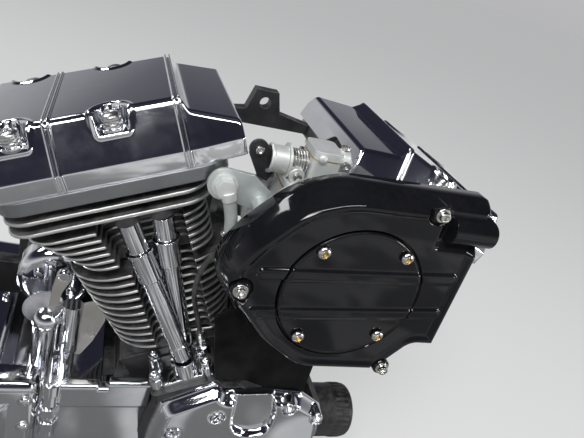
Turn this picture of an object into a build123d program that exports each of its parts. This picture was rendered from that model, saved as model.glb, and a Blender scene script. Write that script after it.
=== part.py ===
from build123d import *
import os
from math import cos, sin, tan, radians

os.makedirs("parts", exist_ok=True)

# V-twin motorcycle engine with its air cleaner, gearbox, primary drive and starter, in millimetres.
# +X is forward, +Y is the rider's left, +Z is up. The origin is the middle of the swingarm pivot
# bore at the back of the gearbox, which holds the unit in its frame.

# Crankshaft axis from the origin
CRANK_X = 425.0
CRANK_Z = 30.0

# Cylinders: heights along the bore from the crankshaft axis
BANK_ANGLE = 22.5
DECK = 146.0
HEAD_JOINT = 278.0
HOUSING_JOINT = 368.0
COVER_JOINT = HOUSING_JOINT + 13.0
COVER_CREASE = COVER_JOINT + 16.0
COVER_TOP = COVER_JOINT + 57.0
BORE_WALL_R = 53.0
DECK_HALF = 56.0

# Barrel fins
BARREL_FINS = 11
BARREL_FIN_PITCH = 10.4
BARREL_FIN_T = 2.6
BARREL_FIN_FIRST = DECK + 19.0
FIN_BACK_LOW = 66.0
FIN_BACK_HIGH = 84.0
FIN_SIDE = 78.0
FIN_CORNER_R = 52.0

# Head fins: short ones beside the pushrods, long ones above them
HEAD_FINS = 6
HEAD_FIN_PITCH = 8.0
HEAD_FIN_T = 2.6
HEAD_FIN_FIRST = HEAD_JOINT + 12.0
HEAD_FIN_BACK_LOW = 66.0
HEAD_FIN_BACK_HIGH = 102.0
HEAD_FIN_SIDE = 88.0
HEAD_FIN_VEE = 66.0
LONG_FIN_PITCH = 12.0
LONG_FIN_SIDE = 95.0
LONG_FIN_BACK = 111.0
LONG_FIN_VEE = 72.0
HEAD_CORE = 61.0
HEAD_CORE_VEE = 53.0

# Spark plugs, in wells through the fins on the left
PLUG_F = 0.0
PLUG_A = 312.0
PLUG_R = 9.0
PLUG_L = 62.0
PLUG_WELL_R = 14.0

# Recess in the fins on the right, where the pushrod tubes pass
TUBE_RECESS_BACK = 20.0
HEAD_RECESS_BACK_LOW = 28.0
HEAD_RECESS_BACK_HIGH = 38.0
TUBE_RECESS_VEE = 42.0
TUBE_RECESS_Y = DECK_HALF - 1.5

# Pushrod tubes: foot and top as (along the head, up the bore, to the right)
TUBE_FOOT = 159.0
TUBE_TOP = HOUSING_JOINT - 32.0
TUBE_TIP_BACK = 0.9
TUBE_R = 9.6
TUBE_UPPER_R = 10.4
TUBE_CAP_R = 11.8
TUBE_LIP_R = 13.4
TUBE_FOOT_R = 10.2
TUBE_FOOT_H = 18.0
TUBES = {
    # name: (foot along, foot right, top along, top right, height of the cap's upper end, cap length)
    "exhaust": (5.0, 88.5, -8.5, 84.0, 304.0, 34.0),
    "intake": (8.0, 66.6, 23.5, 83.0, 310.0, 32.0),
}

# Tappet covers, across the bore
TAPPET_SEAT = 128.0
TAPPET_FLANGE_T = 8.0
TAPPET_POST_H = 16.0
TAPPET_SCREW_F = 28.0
TAPPET_SCREWS_Y = (DECK_HALF + 8.0, DECK_HALF + 39.0)
TAPPET_POST_R = 7.0

# Crankcase
CASE_R = 122.0
CASE_HALF_RIGHT = 48.0
CASE_HALF_LEFT = 70.0
DECK_BACK = 66.0
CHEST_Y = 106.0
CASE_BACK = 132.0
CASE_BACK_TOP = 76.0
CASE_BACK_LOW = -62.0

# Cam cover: screw places from the crankshaft, and the depth of its sunken panel
CAM_COVER_T = 16.0
CAM_SCREW_R = 11.0
CAM_SCREWS = ((-55, 67), (-9, 92), (73, 106), (114, 90), (109, 6), (67, -54), (-9, -54), (-59, 4))
CAM_PANEL_DEPTH = 5.0

# Rocker cover
COVER_SIDE = 93.0
COVER_LEAN = 0.56
COVER_CORNER_R = 7.0
COVER_BACK = 113.0
NOSE_START_DROP = 10.0
NOSE_DROP = 27.0
NOSE_NARROW = 4.0
HOUSING_SIDE = 96.0
HOUSING_VEE = 93.0
HOUSING_CORNER_R = 26.0
COVER_PLACES = {
    # bank: (start of the nose, its end, double bands, bolts), all along the head towards the V
    "rear": (62.0, 111.0, (-51.0, 59.0), (-81.0, 2.0)),
    "front": (46.0, 96.0, (-62.0, 43.0), (-92.0, -12.0)),
}
BAND_T = 2.2
BAND_PROUD = 1.4
NOTCH_R = 14.5
NOTCH_Y = 83.0
NOTCH_DEPTH = 15.0

# Induction
PORT_Z = 314.0
PORT_HALF_GAP = 54.0
PORT_Y = -8.0
PORT_R = 24.0
THROTTLE_X = 12.0
THROTTLE_Z = 322.0
THROTTLE_R = 31.0
MANIFOLD_FACE_Y = -46.0
PLATE_Y = -118.0
PLATE_T = 7.0
PLATE_INSET = 4.0
CLEANER_WALL = 15.0
CLEANER_SHOULDER = 28.0
CLEANER_SHOULDER_IN = 8.0
CLEANER_BACK_R = 24.0
CLEANER_FRONT_R = 9.0
CLEANER_FACE_Y = PLATE_Y - PLATE_T - CLEANER_WALL - CLEANER_SHOULDER
POCKET_INSET = 14.0
POCKET_DEPTH = 2.5
POCKET_Y = CLEANER_FACE_Y + POCKET_DEPTH
INSERT_X = 66.0
INSERT_Z = 301.0
INSERT_R = 70.0
INSERT_GROOVE = 3.0
RIB_X = 70.0
RIB_Z = 303.0
RIB_OFFSETS = (21.5, -21.5)
RIB_LENGTH = 203.0
RIB_W = 14.0
RIB_TILT = 4.0

# Gearbox, primary drive and starter
SHAFT_X = -292.0
SHAFT_Z = 8.0
GEARBOX_RIGHT = 62.0
GEARBOX_LEFT = 70.0
GEARBOX_TOP = 96.0
GEARBOX_STEP = 78.0
STEP_BACK = 228.0
GEARBOX_LOW = -70.0
PIVOT_BOSS_R = 34.0
PIVOT_BORE_R = 12.7
PIVOT_HALF = 95.0
SHOULDER_RIGHT = 79.0
SIDE_COVER_T = 30.0
SIDE_COVER_TOP = 104.0
SIDE_COVER_R = 8.0
PRIMARY_Y = 108.0
PRIMARY_INNER_T = 20.0
PRIMARY_COVER_T = 38.0
PRIMARY_COVER_R = 16.0
PRIMARY_CRANK_R = 95.0
PRIMARY_CLUTCH_R = 108.0
PULLEY_R = 60.0
PULLEY_W = 28.0
PULLEY_GAP = 5.0
PULLEY_TEETH = 32
STUB_R = 24.0
RUN_GAP = 0.05
STARTER_X = -196.0
STARTER_Z = 158.0
STARTER_R = 38.0
STARTER_CAP_R = 42.0
STARTER_CAP_Y = 44.0
STARTER_END_Y = 14.0

TILT = radians(BANK_ANGLE)
V_PLANE = Plane(origin=(CRANK_X, 0, 0), z_dir=(1, 0, 0))
SEAT_GAP = 0.3


def side(y):
    """Plane drawn from the right, x forward and y up from the crankshaft, that extrudes to the right."""
    return Plane(origin=(CRANK_X, y, CRANK_Z), x_dir=(1, 0, 0), z_dir=(0, -1, 0))


def level(z):
    """Horizontal plane at a height over the crankshaft, x forward and y left."""
    return Plane(origin=(CRANK_X, 0, CRANK_Z + z), x_dir=(1, 0, 0), z_dir=(0, 0, 1))


def across(a):
    """Plane across the rear bore, a up from the crankshaft: x towards the V, y left."""
    origin = (CRANK_X - a * sin(TILT), 0, CRANK_Z + a * cos(TILT))
    return Plane(origin=origin, x_dir=(cos(TILT), 0, sin(TILT)), z_dir=(-sin(TILT), 0, cos(TILT)))


def along(f):
    """Plane square to the rear head's length, f from the bore: x left, y up the bore."""
    origin = (CRANK_X + f * cos(TILT), 0, CRANK_Z + f * sin(TILT))
    return Plane(origin=origin, x_dir=(0, 1, 0), z_dir=(cos(TILT), 0, sin(TILT)))


def facing(plane):
    """The front bank's plane that mirrors one of the rear bank's."""
    origin = (2 * CRANK_X - plane.origin.X, plane.origin.Y, plane.origin.Z)
    across = (plane.x_dir.X, 0, -plane.x_dir.Z)
    return Plane(origin=origin, x_dir=across, z_dir=(-plane.z_dir.X, 0, plane.z_dir.Z))


def bank_point(f, a, y):
    """Point of the rear bank in the part's frame, from its length, its height up the bore and Y."""
    x = CRANK_X - a * sin(TILT) + f * cos(TILT)
    return (x, y, CRANK_Z + a * cos(TILT) + f * sin(TILT))


def vee_point(f, a):
    """The same point seen from the right, as x forward and z up from the crankshaft."""
    return (f * cos(TILT) - a * sin(TILT), f * sin(TILT) + a * cos(TILT))


def write(part, name):
    """Label a finished sub-part and save it."""
    part.label = name
    export_step(part, f"parts/{name}.step")


def write_bank(part, name):
    """Save a rear cylinder's piece, and its mirror image over the V for the front cylinder."""
    write(part, f"{name}_rear")
    with BuildPart() as front:
        mirror(part, about=V_PLANE)
    write(front.part, f"{name}_front")


# Crankcase: two halves that meet on the cylinders' centre plane
def case_outline(y):
    """Outline of the flywheel chamber with both cylinder decks and the gearbox flange."""
    corner_x = DECK * sin(TILT) + DECK_BACK * cos(TILT)
    corner_z = DECK * cos(TILT) - DECK_BACK * sin(TILT)
    apex_z = DECK / cos(TILT)
    with BuildSketch(side(y)) as face:
        Circle(CASE_R)
        with BuildLine():
            Polyline((-corner_x, corner_z), (0, apex_z), (corner_x, corner_z), (CASE_R, 0), (-CASE_R, 0),
                     close=True)
        make_face()
        with Locations((-CASE_BACK, (CASE_BACK_TOP + CASE_BACK_LOW) / 2)):
            Rectangle(CASE_BACK, CASE_BACK_TOP - CASE_BACK_LOW, align=(Align.MIN, Align.CENTER))
        with Locations((62, -CASE_R + 4)):
            Rectangle(70, 50, align=(Align.MIN, Align.MIN))
    return face.sketch


def deck_outline(y):
    """Outline of the part of the case under the cylinder bases."""
    corner_x = DECK * sin(TILT) + DECK_BACK * cos(TILT)
    corner_z = DECK * cos(TILT) - DECK_BACK * sin(TILT)
    with BuildSketch(side(y)) as face:
        with BuildLine():
            Polyline((-corner_x, corner_z), (0, DECK / cos(TILT)), (corner_x, corner_z),
                     (corner_x - 18, 82), (-corner_x + 18, 82), close=True)
        make_face()
    return face.sketch


def cam_outline(y, inset=0.0):
    """Outline of the cam chest and its cover."""
    with BuildSketch(side(y)) as face:
        with BuildLine():
            Polyline((-79, 62), (-73, 100), (-16, 132), (-6, 121), (45, 124), (88, 119), (120, 98), (131, 50),
                     (109, -36), (69, -72), (-7, -74), (-57, -36), (-83, 14), close=True)
        make_face()
        fillet(face.vertices(), radius=4.5)
        if inset:
            offset(amount=-inset)
    return face.sketch


with BuildPart() as crankcase_right:
    extrude(case_outline(0), amount=CASE_HALF_RIGHT)
    extrude(deck_outline(-CASE_HALF_RIGHT), amount=DECK_HALF - CASE_HALF_RIGHT)
    extrude(cam_outline(-CASE_HALF_RIGHT), amount=CHEST_Y - CASE_HALF_RIGHT)
    for seat in (across(TAPPET_SEAT), facing(across(TAPPET_SEAT))):
        with BuildSketch(seat):
            with Locations((0, -(DECK_HALF - 12 + CHEST_Y) / 2)):
                RectangleRounded(2 * TAPPET_SCREW_F + 18, CHEST_Y - DECK_HALF + 12, 8)
        extrude(amount=-50)
        with BuildSketch(seat):
            with Locations((0, -(DECK_HALF + CHEST_Y + 4) / 2)):
                Rectangle(2 * TAPPET_SCREW_F + 64, CHEST_Y + 4 - DECK_HALF)
        extrude(amount=60, mode=Mode.SUBTRACT)
write(crankcase_right.part, "crankcase_right")

with BuildPart() as crankcase_left:
    extrude(case_outline(CASE_HALF_LEFT), amount=CASE_HALF_LEFT)
    with BuildSketch(side(PRIMARY_Y)):
        Circle(PRIMARY_CRANK_R - 14)
    extrude(amount=PRIMARY_Y - CASE_HALF_LEFT)
write(crankcase_left.part, "crankcase_left")

# Cam cover: polished, with a sunken panel at its top and a raised boss round each screw
with BuildPart() as cam_cover:
    extrude(cam_outline(-CHEST_Y, 0.6), amount=CAM_COVER_T)
    front_edges = cam_cover.faces().sort_by(Axis.Y)[0].edges()
    chamfer(front_edges, 3)
    with BuildSketch(side(-CHEST_Y)):
        with BuildLine():
            Polyline((44, 110), (47, 140), (57, 141), (89, 130), (86, 110), close=True)
        make_face()
    extrude(amount=CAM_COVER_T - 1)
    with BuildSketch(side(-CHEST_Y - CAM_COVER_T)):
        with BuildLine():
            Polyline((9, 76), (-2, 130), (46, 130), (60, 99), (58, 78))
            ThreePointArc((58, 78), (36, 62), (9, 76))
        make_face()
    extrude(amount=-CAM_PANEL_DEPTH, mode=Mode.SUBTRACT)
    with BuildSketch(side(-CHEST_Y - 4)):
        with Locations(*CAM_SCREWS):
            Circle(CAM_SCREW_R)
    extrude(amount=CAM_COVER_T - 1)
    with BuildSketch(side(-CHEST_Y - 4 - CAM_COVER_T + 1)):
        with Locations(*CAM_SCREWS):
            Circle(CAM_SCREW_R - 3)
    extrude(amount=-7, mode=Mode.SUBTRACT)
write(cam_cover.part, "cam_cover")

# Timer cover: a round plate with a dished middle
TIMER_X = 32.0
TIMER_Z = 18.0
TIMER_R = 40.0
TIMER_T = 6.0
with BuildPart() as timer_cover:
    with BuildSketch(side(-CHEST_Y - CAM_COVER_T)):
        with Locations((TIMER_X, TIMER_Z)):
            Circle(TIMER_R)
    extrude(amount=TIMER_T)
    chamfer(timer_cover.faces().sort_by(Axis.Y)[0].edges(), 2)
    with BuildSketch(side(-CHEST_Y - CAM_COVER_T - TIMER_T)):
        with Locations((TIMER_X, TIMER_Z)):
            Circle(TIMER_R - 13)
    extrude(amount=-2.5, mode=Mode.SUBTRACT)
write(timer_cover.part, "timer_cover")

# Barrels: a bored core with thin fins that widen upwards, cut back on the right for the pushrod tubes
def fin_face(a, back, vee, half_y, corner_r, recess_back=0.0):
    """Fin outline across the bore, with its recess for the pushrod tubes if it has one."""
    with BuildSketch(across(a)) as face:
        with Locations(((vee - back) / 2, 0)):
            RectangleRounded(back + vee, 2 * half_y, corner_r)
        if recess_back:
            with Locations(((TUBE_RECESS_VEE - recess_back) / 2, -half_y)):
                RectangleRounded(TUBE_RECESS_VEE + recess_back, 2 * (half_y - TUBE_RECESS_Y), 9,
                                 mode=Mode.SUBTRACT)
    return face.sketch


with BuildPart() as cylinder:
    with BuildSketch(across(DECK)):
        RectangleRounded(2 * DECK_BACK - 12, 2 * TUBE_RECESS_Y, 20)
    extrude(amount=10)
    with BuildSketch(across(DECK)):
        Circle(BORE_WALL_R)
    extrude(amount=HEAD_JOINT - DECK)
    for count in range(BARREL_FINS):
        height = BARREL_FIN_FIRST + count * BARREL_FIN_PITCH
        share = count / (BARREL_FINS - 1)
        back = FIN_BACK_LOW + (FIN_BACK_HIGH - FIN_BACK_LOW) * share
        vee = min(back, height * sin(TILT) / cos(TILT) - 2)
        half_y = FIN_SIDE - 6 * (1 - share)
        extrude(fin_face(height, back, vee, half_y, FIN_CORNER_R, TUBE_RECESS_BACK), amount=BARREL_FIN_T)
write_bank(cylinder.part, "cylinder")

# Heads: a solid core with ports, short fins beside the tubes and long fins over them
def plug_seat():
    """Seat of the spark plug on the left of the rear head, facing out along the plug."""
    root = Vector(*bank_point(PLUG_F, PLUG_A, TUBE_RECESS_Y - 5))
    tip = Vector(*bank_point(PLUG_F, PLUG_A + 24, TUBE_RECESS_Y + 50))
    return Plane(origin=root, x_dir=(cos(TILT), 0, sin(TILT)), z_dir=tip - root)


EXHAUST_PORT_A = 312.0
EXHAUST_PORT_R = 22.0
EXHAUST_BOSS_R = 33.0
EXHAUST_FACE = 104.0
EXHAUST_DEPTH = 30.0
with BuildPart() as head:
    with BuildSketch(across(HEAD_JOINT)):
        with Locations(((HEAD_CORE_VEE - HEAD_CORE) / 2, 0)):
            RectangleRounded(HEAD_CORE + HEAD_CORE_VEE, 2 * TUBE_RECESS_Y, 18)
    extrude(amount=HOUSING_JOINT - HEAD_JOINT)
    for count in range(HEAD_FINS):
        height = HEAD_FIN_FIRST + count * HEAD_FIN_PITCH
        share = count / (HEAD_FINS - 1)
        back = HEAD_FIN_BACK_LOW + (HEAD_FIN_BACK_HIGH - HEAD_FIN_BACK_LOW) * share
        recess = HEAD_RECESS_BACK_LOW + (HEAD_RECESS_BACK_HIGH - HEAD_RECESS_BACK_LOW) * share
        extrude(fin_face(height, back, HEAD_FIN_VEE, HEAD_FIN_SIDE, 30, recess), amount=HEAD_FIN_T)
    for count in range(2):
        height = HOUSING_JOINT - 10.5 - (1 - count) * LONG_FIN_PITCH
        extrude(fin_face(height, LONG_FIN_BACK, LONG_FIN_VEE, LONG_FIN_SIDE, 24), amount=3.2)
    with BuildSketch(across(TUBE_TOP + SEAT_GAP)):
        for foot_f, foot_y, top_f, top_y, cap, length in TUBES.values():
            with Locations((top_f, -top_y)):
                Circle(TUBE_LIP_R - 2)
        with Locations((7, -68)):
            Rectangle(54, 34)
    extrude(amount=12)
    with BuildSketch(along(-EXHAUST_FACE)):
        with Locations((0, EXHAUST_PORT_A)):
            Circle(EXHAUST_BOSS_R)
    extrude(amount=EXHAUST_FACE - HEAD_CORE + 2)
    with BuildSketch(along(-EXHAUST_FACE)):
        with Locations((0, EXHAUST_PORT_A)):
            Circle(EXHAUST_PORT_R)
    extrude(amount=EXHAUST_DEPTH, mode=Mode.SUBTRACT)
    with BuildSketch(Plane(origin=(CRANK_X - PORT_HALF_GAP, PORT_Y, CRANK_Z + PORT_Z), z_dir=(-1, 0, 0))):
        Circle(PORT_R + 7)
    extrude(amount=26)
    with BuildSketch(Plane(origin=(CRANK_X - PORT_HALF_GAP, PORT_Y, CRANK_Z + PORT_Z), z_dir=(1, 0, 0))):
        Circle(PORT_R + 10)
    extrude(amount=20, mode=Mode.SUBTRACT)
    with BuildSketch(plug_seat()):
        Circle(PLUG_WELL_R)
    extrude(amount=60, mode=Mode.SUBTRACT)
write_bank(head.part, "head")

# Rocker housings: the satin band between head and cover
with BuildPart() as rocker_housing:
    with BuildSketch(across(HOUSING_JOINT)):
        with Locations(((HOUSING_VEE - COVER_BACK) / 2, 0)):
            RectangleRounded(HOUSING_VEE + COVER_BACK, 2 * HOUSING_SIDE, HOUSING_CORNER_R)
    extrude(amount=COVER_JOINT - HOUSING_JOINT)
write_bank(rocker_housing.part, "rocker_housing")

# Rocker covers: upright below the crease, sloped above it, with a lower nose towards the V
def cover_section(f, grow=0.0, drop=0.0, narrow=0.0):
    """Section of the rocker cover square to its length, with rounded upper corners."""
    low = COVER_SIDE - narrow + grow
    top = COVER_TOP - drop + grow
    high = low - (top - COVER_CREASE) * COVER_LEAN
    with BuildSketch(along(f)) as face:
        with BuildLine():
            Polyline((-low, COVER_JOINT), (-low, COVER_CREASE), (-high, top), (high, top),
                     (low, COVER_CREASE), (low, COVER_JOINT), close=True)
        make_face()
        fillet(face.vertices().group_by(Axis.Y)[-1], COVER_CORNER_R)
    return face.sketch


def rocker_cover(nose_start, nose_end, bands, bolts):
    """One rocker cover on the rear bank: body, sloping nose, double bands and the bolts' notches."""
    with BuildPart() as cover:
        extrude(cover_section(-COVER_BACK), amount=COVER_BACK + nose_start)
        loft([cover_section(nose_start, 0, NOSE_START_DROP, 1),
              cover_section(nose_end, 0, NOSE_DROP, NOSE_NARROW)])
        for band in bands:
            for edge in (-3.2, 1.0):
                extrude(cover_section(band + edge, BAND_PROUD), amount=BAND_T)
        with BuildSketch(across(COVER_TOP - NOTCH_DEPTH)):
            for bolt in bolts:
                for hand in (1, -1):
                    with Locations((bolt, hand * NOTCH_Y)):
                        SlotOverall(2 * NOTCH_R + 24, 2 * NOTCH_R, rotation=90)
        extrude(amount=30, mode=Mode.SUBTRACT)
    return cover.part


write(rocker_cover(*COVER_PLACES["rear"]), "rocker_cover_rear")
with BuildPart() as front_cover:
    mirror(rocker_cover(*COVER_PLACES["front"]), about=V_PLANE)
write(front_cover.part, "rocker_cover_front")

# Pushrod tubes: turned steel, with a wide spring cap under a lip
def tube(foot_f, foot_y, top_f, top_y, cap, length):
    """One pushrod tube, turned about its own leaning axis."""
    foot = Vector(*bank_point(foot_f, TUBE_FOOT, -foot_y))
    top = Vector(*bank_point(top_f, TUBE_TOP, -top_y))
    run = (top - foot).length - TUBE_TIP_BACK
    grow = run / (TUBE_TOP - TUBE_FOOT)
    cap_top = (cap - TUBE_FOOT) * grow
    cap_low = cap_top - length
    rise = (top - foot).normalized()
    outward = Vector(0, 1, 0).cross(rise).normalized()
    with BuildPart() as piece:
        with BuildSketch(Plane(origin=foot, x_dir=outward, z_dir=outward.cross(rise))):
            with BuildLine():
                Polyline((0, 0), (TUBE_FOOT_R, 0), (TUBE_FOOT_R, TUBE_FOOT_H), (TUBE_R, TUBE_FOOT_H + 2),
                         (TUBE_R, cap_low - 2), (TUBE_CAP_R, cap_low), (TUBE_CAP_R, cap_top - 3),
                         (TUBE_LIP_R, cap_top - 2.5), (TUBE_LIP_R, cap_top), (TUBE_UPPER_R, cap_top + 1),
                         (TUBE_UPPER_R, run), (0, run), close=True)
            make_face()
        revolve(axis=Axis(foot, rise))
    return piece.part


for kind, places in TUBES.items():
    write_bank(tube(*places), f"pushrod_tube_{kind}")

# Tappet covers: a scalloped flange with four screw posts round a turret for the two tubes
with BuildPart() as tappet_cover:
    with BuildSketch(across(TAPPET_SEAT)) as flange:
        with Locations((0, -(TAPPET_SCREWS_Y[0] + TAPPET_SCREWS_Y[1]) / 2)):
            RectangleRounded(2 * TAPPET_SCREW_F - 4, TAPPET_SCREWS_Y[1] - TAPPET_SCREWS_Y[0] + 12, 6)
        for screw_y in TAPPET_SCREWS_Y:
            with Locations((-TAPPET_SCREW_F, -screw_y), (TAPPET_SCREW_F, -screw_y)):
                Circle(TAPPET_POST_R)
    extrude(amount=TAPPET_FLANGE_T)
    with BuildSketch(across(TAPPET_SEAT)):
        for screw_y in TAPPET_SCREWS_Y:
            with Locations((-TAPPET_SCREW_F, -screw_y), (TAPPET_SCREW_F, -screw_y)):
                Circle(TAPPET_POST_R)
    extrude(amount=TAPPET_POST_H)
    with BuildSketch(across(TAPPET_SEAT + TAPPET_FLANGE_T - 1)):
        for foot_f, foot_y, top_f, top_y, cap, length in TUBES.values():
            with Locations((foot_f, -foot_y)):
                Circle(TUBE_FOOT_R + 3.6)
        with Locations((6, -78)):
            Rectangle(26, 24)
    extrude(amount=TUBE_FOOT - 3 - TAPPET_SEAT - TAPPET_FLANGE_T + 1)
    with BuildSketch(across(TAPPET_SEAT)):
        with Locations((0, -(DECK_HALF + SEAT_GAP) / 2)):
            Rectangle(2 * DECK_BACK, DECK_HALF + SEAT_GAP)
    extrude(amount=60, mode=Mode.SUBTRACT)
write_bank(tappet_cover.part, "tappet_cover")

# Guard plate: a satin black pressing in front of the front tappets
GUARD_BACK = -38.0
GUARD_BACK_LOW = -18.0
GUARD_FRONT = 92.0
GUARD_HIGH = 230.0
GUARD_T = 2.5
GUARD_VALLEY = 15.0


def guard_foot(x):
    """Height of the tappet seats under the guard plate, with its clearance, at a distance from the V."""
    return (TAPPET_SEAT - abs(x) * sin(TILT)) / cos(TILT) + SEAT_GAP


with BuildPart() as tappet_guard:
    with BuildSketch(side(-CHEST_Y + SEAT_GAP + GUARD_T)):
        with BuildLine():
            Polyline((GUARD_BACK_LOW, guard_foot(GUARD_BACK_LOW)), (GUARD_BACK, GUARD_HIGH - 12),
                     (GUARD_BACK + 12, GUARD_HIGH), (GUARD_FRONT - 12, GUARD_HIGH),
                     (GUARD_FRONT, GUARD_HIGH - 12),
                     (GUARD_FRONT, guard_foot(GUARD_FRONT)), (GUARD_VALLEY, guard_foot(GUARD_VALLEY)),
                     (-GUARD_VALLEY, guard_foot(GUARD_VALLEY)), close=True)
        make_face()
    extrude(amount=GUARD_T)
write(tappet_guard.part, "tappet_guard")

# Intake manifold: a cross pipe between the ports with a branch to the throttle body
with BuildPart() as intake_manifold:
    with BuildSketch(Plane(origin=(CRANK_X - PORT_HALF_GAP, PORT_Y, CRANK_Z + PORT_Z), z_dir=(1, 0, 0))):
        Circle(PORT_R)
    extrude(amount=2 * PORT_HALF_GAP)
    for end in (0, 2 * PORT_HALF_GAP - 8):
        with BuildSketch(Plane(origin=(CRANK_X - PORT_HALF_GAP + end, PORT_Y, CRANK_Z + PORT_Z),
                               z_dir=(1, 0, 0))):
            Circle(PORT_R + 7)
        extrude(amount=8)
    with BuildSketch(side(PORT_Y)):
        with Locations((THROTTLE_X, THROTTLE_Z)):
            Circle(PORT_R + 2)
    extrude(amount=PORT_Y - MANIFOLD_FACE_Y)
    with BuildSketch(side(MANIFOLD_FACE_Y + 7)):
        with Locations((THROTTLE_X, THROTTLE_Z)):
            Circle(THROTTLE_R + 4)
    extrude(amount=7)
write(intake_manifold.part, "intake_manifold")

# Throttle body: a cast barrel with a block on top that carries the throttle shaft
SHAFT_BOSS_X = -20.0
SHAFT_BOSS_L = 16.0
SHAFT_BOSS_R = 13.0
SPINDLE_R = 6.0
SPINDLE_Z = 391.5
SPINDLE_Y = -80.0
BLOCK_X = 16.0
BLOCK_L = 29.0
CLAMP_L = 11.0
CLAMP_R = 11.5
THROTTLE_BLOCK_H = 56.0
with BuildPart() as throttle_body:
    with BuildSketch(side(MANIFOLD_FACE_Y)):
        with Locations((THROTTLE_X, THROTTLE_Z)):
            Circle(THROTTLE_R)
    extrude(amount=MANIFOLD_FACE_Y - PLATE_Y)
    for y in (MANIFOLD_FACE_Y, PLATE_Y + 8):
        with BuildSketch(side(y)):
            with Locations((THROTTLE_X, THROTTLE_Z)):
                Circle(THROTTLE_R + 6)
        extrude(amount=8)
    with BuildSketch(level(THROTTLE_Z)):
        with Locations((THROTTLE_X + 12, SPINDLE_Y)):
            RectangleRounded(58, 44, 6)
    extrude(amount=THROTTLE_BLOCK_H)
    with BuildSketch(level(THROTTLE_Z + THROTTLE_BLOCK_H)):
        with Locations((BLOCK_X + BLOCK_L / 2, SPINDLE_Y)):
            RectangleRounded(BLOCK_L, 36, 5)
    extrude(amount=34)
    with BuildSketch(Plane(origin=(CRANK_X + BLOCK_X + BLOCK_L, SPINDLE_Y, CRANK_Z + SPINDLE_Z + 9),
                           z_dir=(1, 0, 0))):
        Circle(CLAMP_R)
    extrude(amount=CLAMP_L)
write(throttle_body.part, "throttle_body")

# Throttle wheel: the cable drum on its spindle, with the bracket that holds the cable
with BuildPart() as throttle_wheel:
    with BuildSketch(Plane(origin=(CRANK_X + SHAFT_BOSS_X, SPINDLE_Y, CRANK_Z + SPINDLE_Z), z_dir=(1, 0, 0))):
        Circle(SHAFT_BOSS_R)
    extrude(amount=SHAFT_BOSS_L)
    with BuildSketch(Plane(origin=(CRANK_X + SHAFT_BOSS_X, SPINDLE_Y, CRANK_Z + SPINDLE_Z), z_dir=(1, 0, 0))):
        Circle(SPINDLE_R)
    extrude(amount=BLOCK_X - SHAFT_BOSS_X)
    with BuildSketch(side(SPINDLE_Y)):
        with BuildLine():
            Polyline((-40, 404), (-27, 406), (-14, 392), (-12, 380), (-18, 368), (-28, 372), (-41, 393),
                     close=True)
        make_face()
        with Locations((-33, 399)):
            Circle(9)
    extrude(amount=3)
write(throttle_wheel.part, "throttle_wheel")


# Cords: the breather hose, and the cable of the oil pressure sender
def cord(route, radius, name):
    """Round cord on straight runs joined by arcs as large as the runs allow; prints its bend radii."""
    points = [Vector(CRANK_X + x, y, CRANK_Z + z) for x, y, z in route]
    radii = []
    for before, corner, after in zip(points, points[1:], points[2:]):
        turn = radians((corner - before).get_angle(after - corner))
        radii.append(0.45 * min((corner - before).length, (after - corner).length) / tan(turn / 2))
    print(name, "bend radii", [round(value) for value in radii], "length", round(sum(
        (after - before).length for before, after in zip(points, points[1:]))))
    with BuildPart() as piece:
        with BuildLine() as path:
            FilletPolyline(*points, radius=radii)
        with BuildSketch(Plane(origin=points[0], z_dir=points[1] - points[0])):
            Circle(radius)
        sweep(path=path.line)
    write(piece.part, name)


def stub(end, inner):
    """Plane at the end of a cord that extrudes on from it, away from its inner point."""
    tip = Vector(CRANK_X + end[0], end[1], CRANK_Z + end[2])
    return Plane(origin=tip, z_dir=(end[0] - inner[0], end[1] - inner[1], end[2] - inner[2]))


HOSE_R = 6.1
HOSE_Y = -111.4
HOSE_ROUTE = (
    # x, y, z from the crankshaft
    (-56.0, HOSE_Y, 357.5), (-50.5, HOSE_Y, 343.0), (-47.6, HOSE_Y, 326.0), (-45.4, HOSE_Y, 304.5),
    (-39.0, HOSE_Y, 284.5))
CABLE_R = 2.8
CABLE_ROUTE = (
    # x, y, z from the crankshaft
    (-37.3, -64.0, 163.2), (-43.0, -66.0, 182.0), (-53.0, -74.0, 208.0), (-61.0, -86.0, 238.0),
    (-60.0, -92.0, 268.0), (-51.0, -95.0, 293.0), (-39.5, -101.0, 311.0), (-35.0, -112.0, 322.0))
cord(HOSE_ROUTE, HOSE_R, "breather_hose")
cord(CABLE_ROUTE, CABLE_R, "sender_cable")

# Oil pressure sender: a hexagon on a post of the rear tappet cover, with the cable's boot on top
SENDER_R = 6.0
with BuildPart() as sender:
    with BuildSketch(across(TAPPET_SEAT + TAPPET_POST_H)):
        with Locations((TAPPET_SCREW_F, -TAPPET_SCREWS_Y[0])):
            RegularPolygon(SENDER_R, 6)
    extrude(amount=11)
    with BuildSketch(stub(CABLE_ROUTE[0], CABLE_ROUTE[1])):
        Circle(CABLE_R + 1.7)
    extrude(amount=12)
write(sender.part, "sender")

# Air cleaner: backplate with its breather ear, gloss cover and round insert
BREATHER_X = -61.5
BREATHER_Z = 368.0
BREATHER_BOLT_R = 5.0
EAR_Y = -HOUSING_SIDE - 4.0
EAR_T = 4.0
EAR_R = 15.5


def cleaner_outline(y, inset=0.0):
    """Outline of the air cleaner cover seen from the right: large curves at the back, small at the front."""
    with BuildSketch(side(y)) as face:
        with BuildLine():
            Polyline((-60, 298), (-60, 322), (-44, 350), (-8, 392), (34, 408), (188, 411), (188, 241),
                     (157, 241), (128, 204), (36, 204), (-10, 236), (-48, 281), close=True)
        make_face()
        fillet(face.vertices().filter_by(lambda corner: corner.X < 40), radius=CLEANER_BACK_R)
        fillet(face.vertices().filter_by(lambda corner: corner.X > 100), radius=CLEANER_FRONT_R)
        if inset:
            offset(amount=-inset)
    return face.sketch


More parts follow.
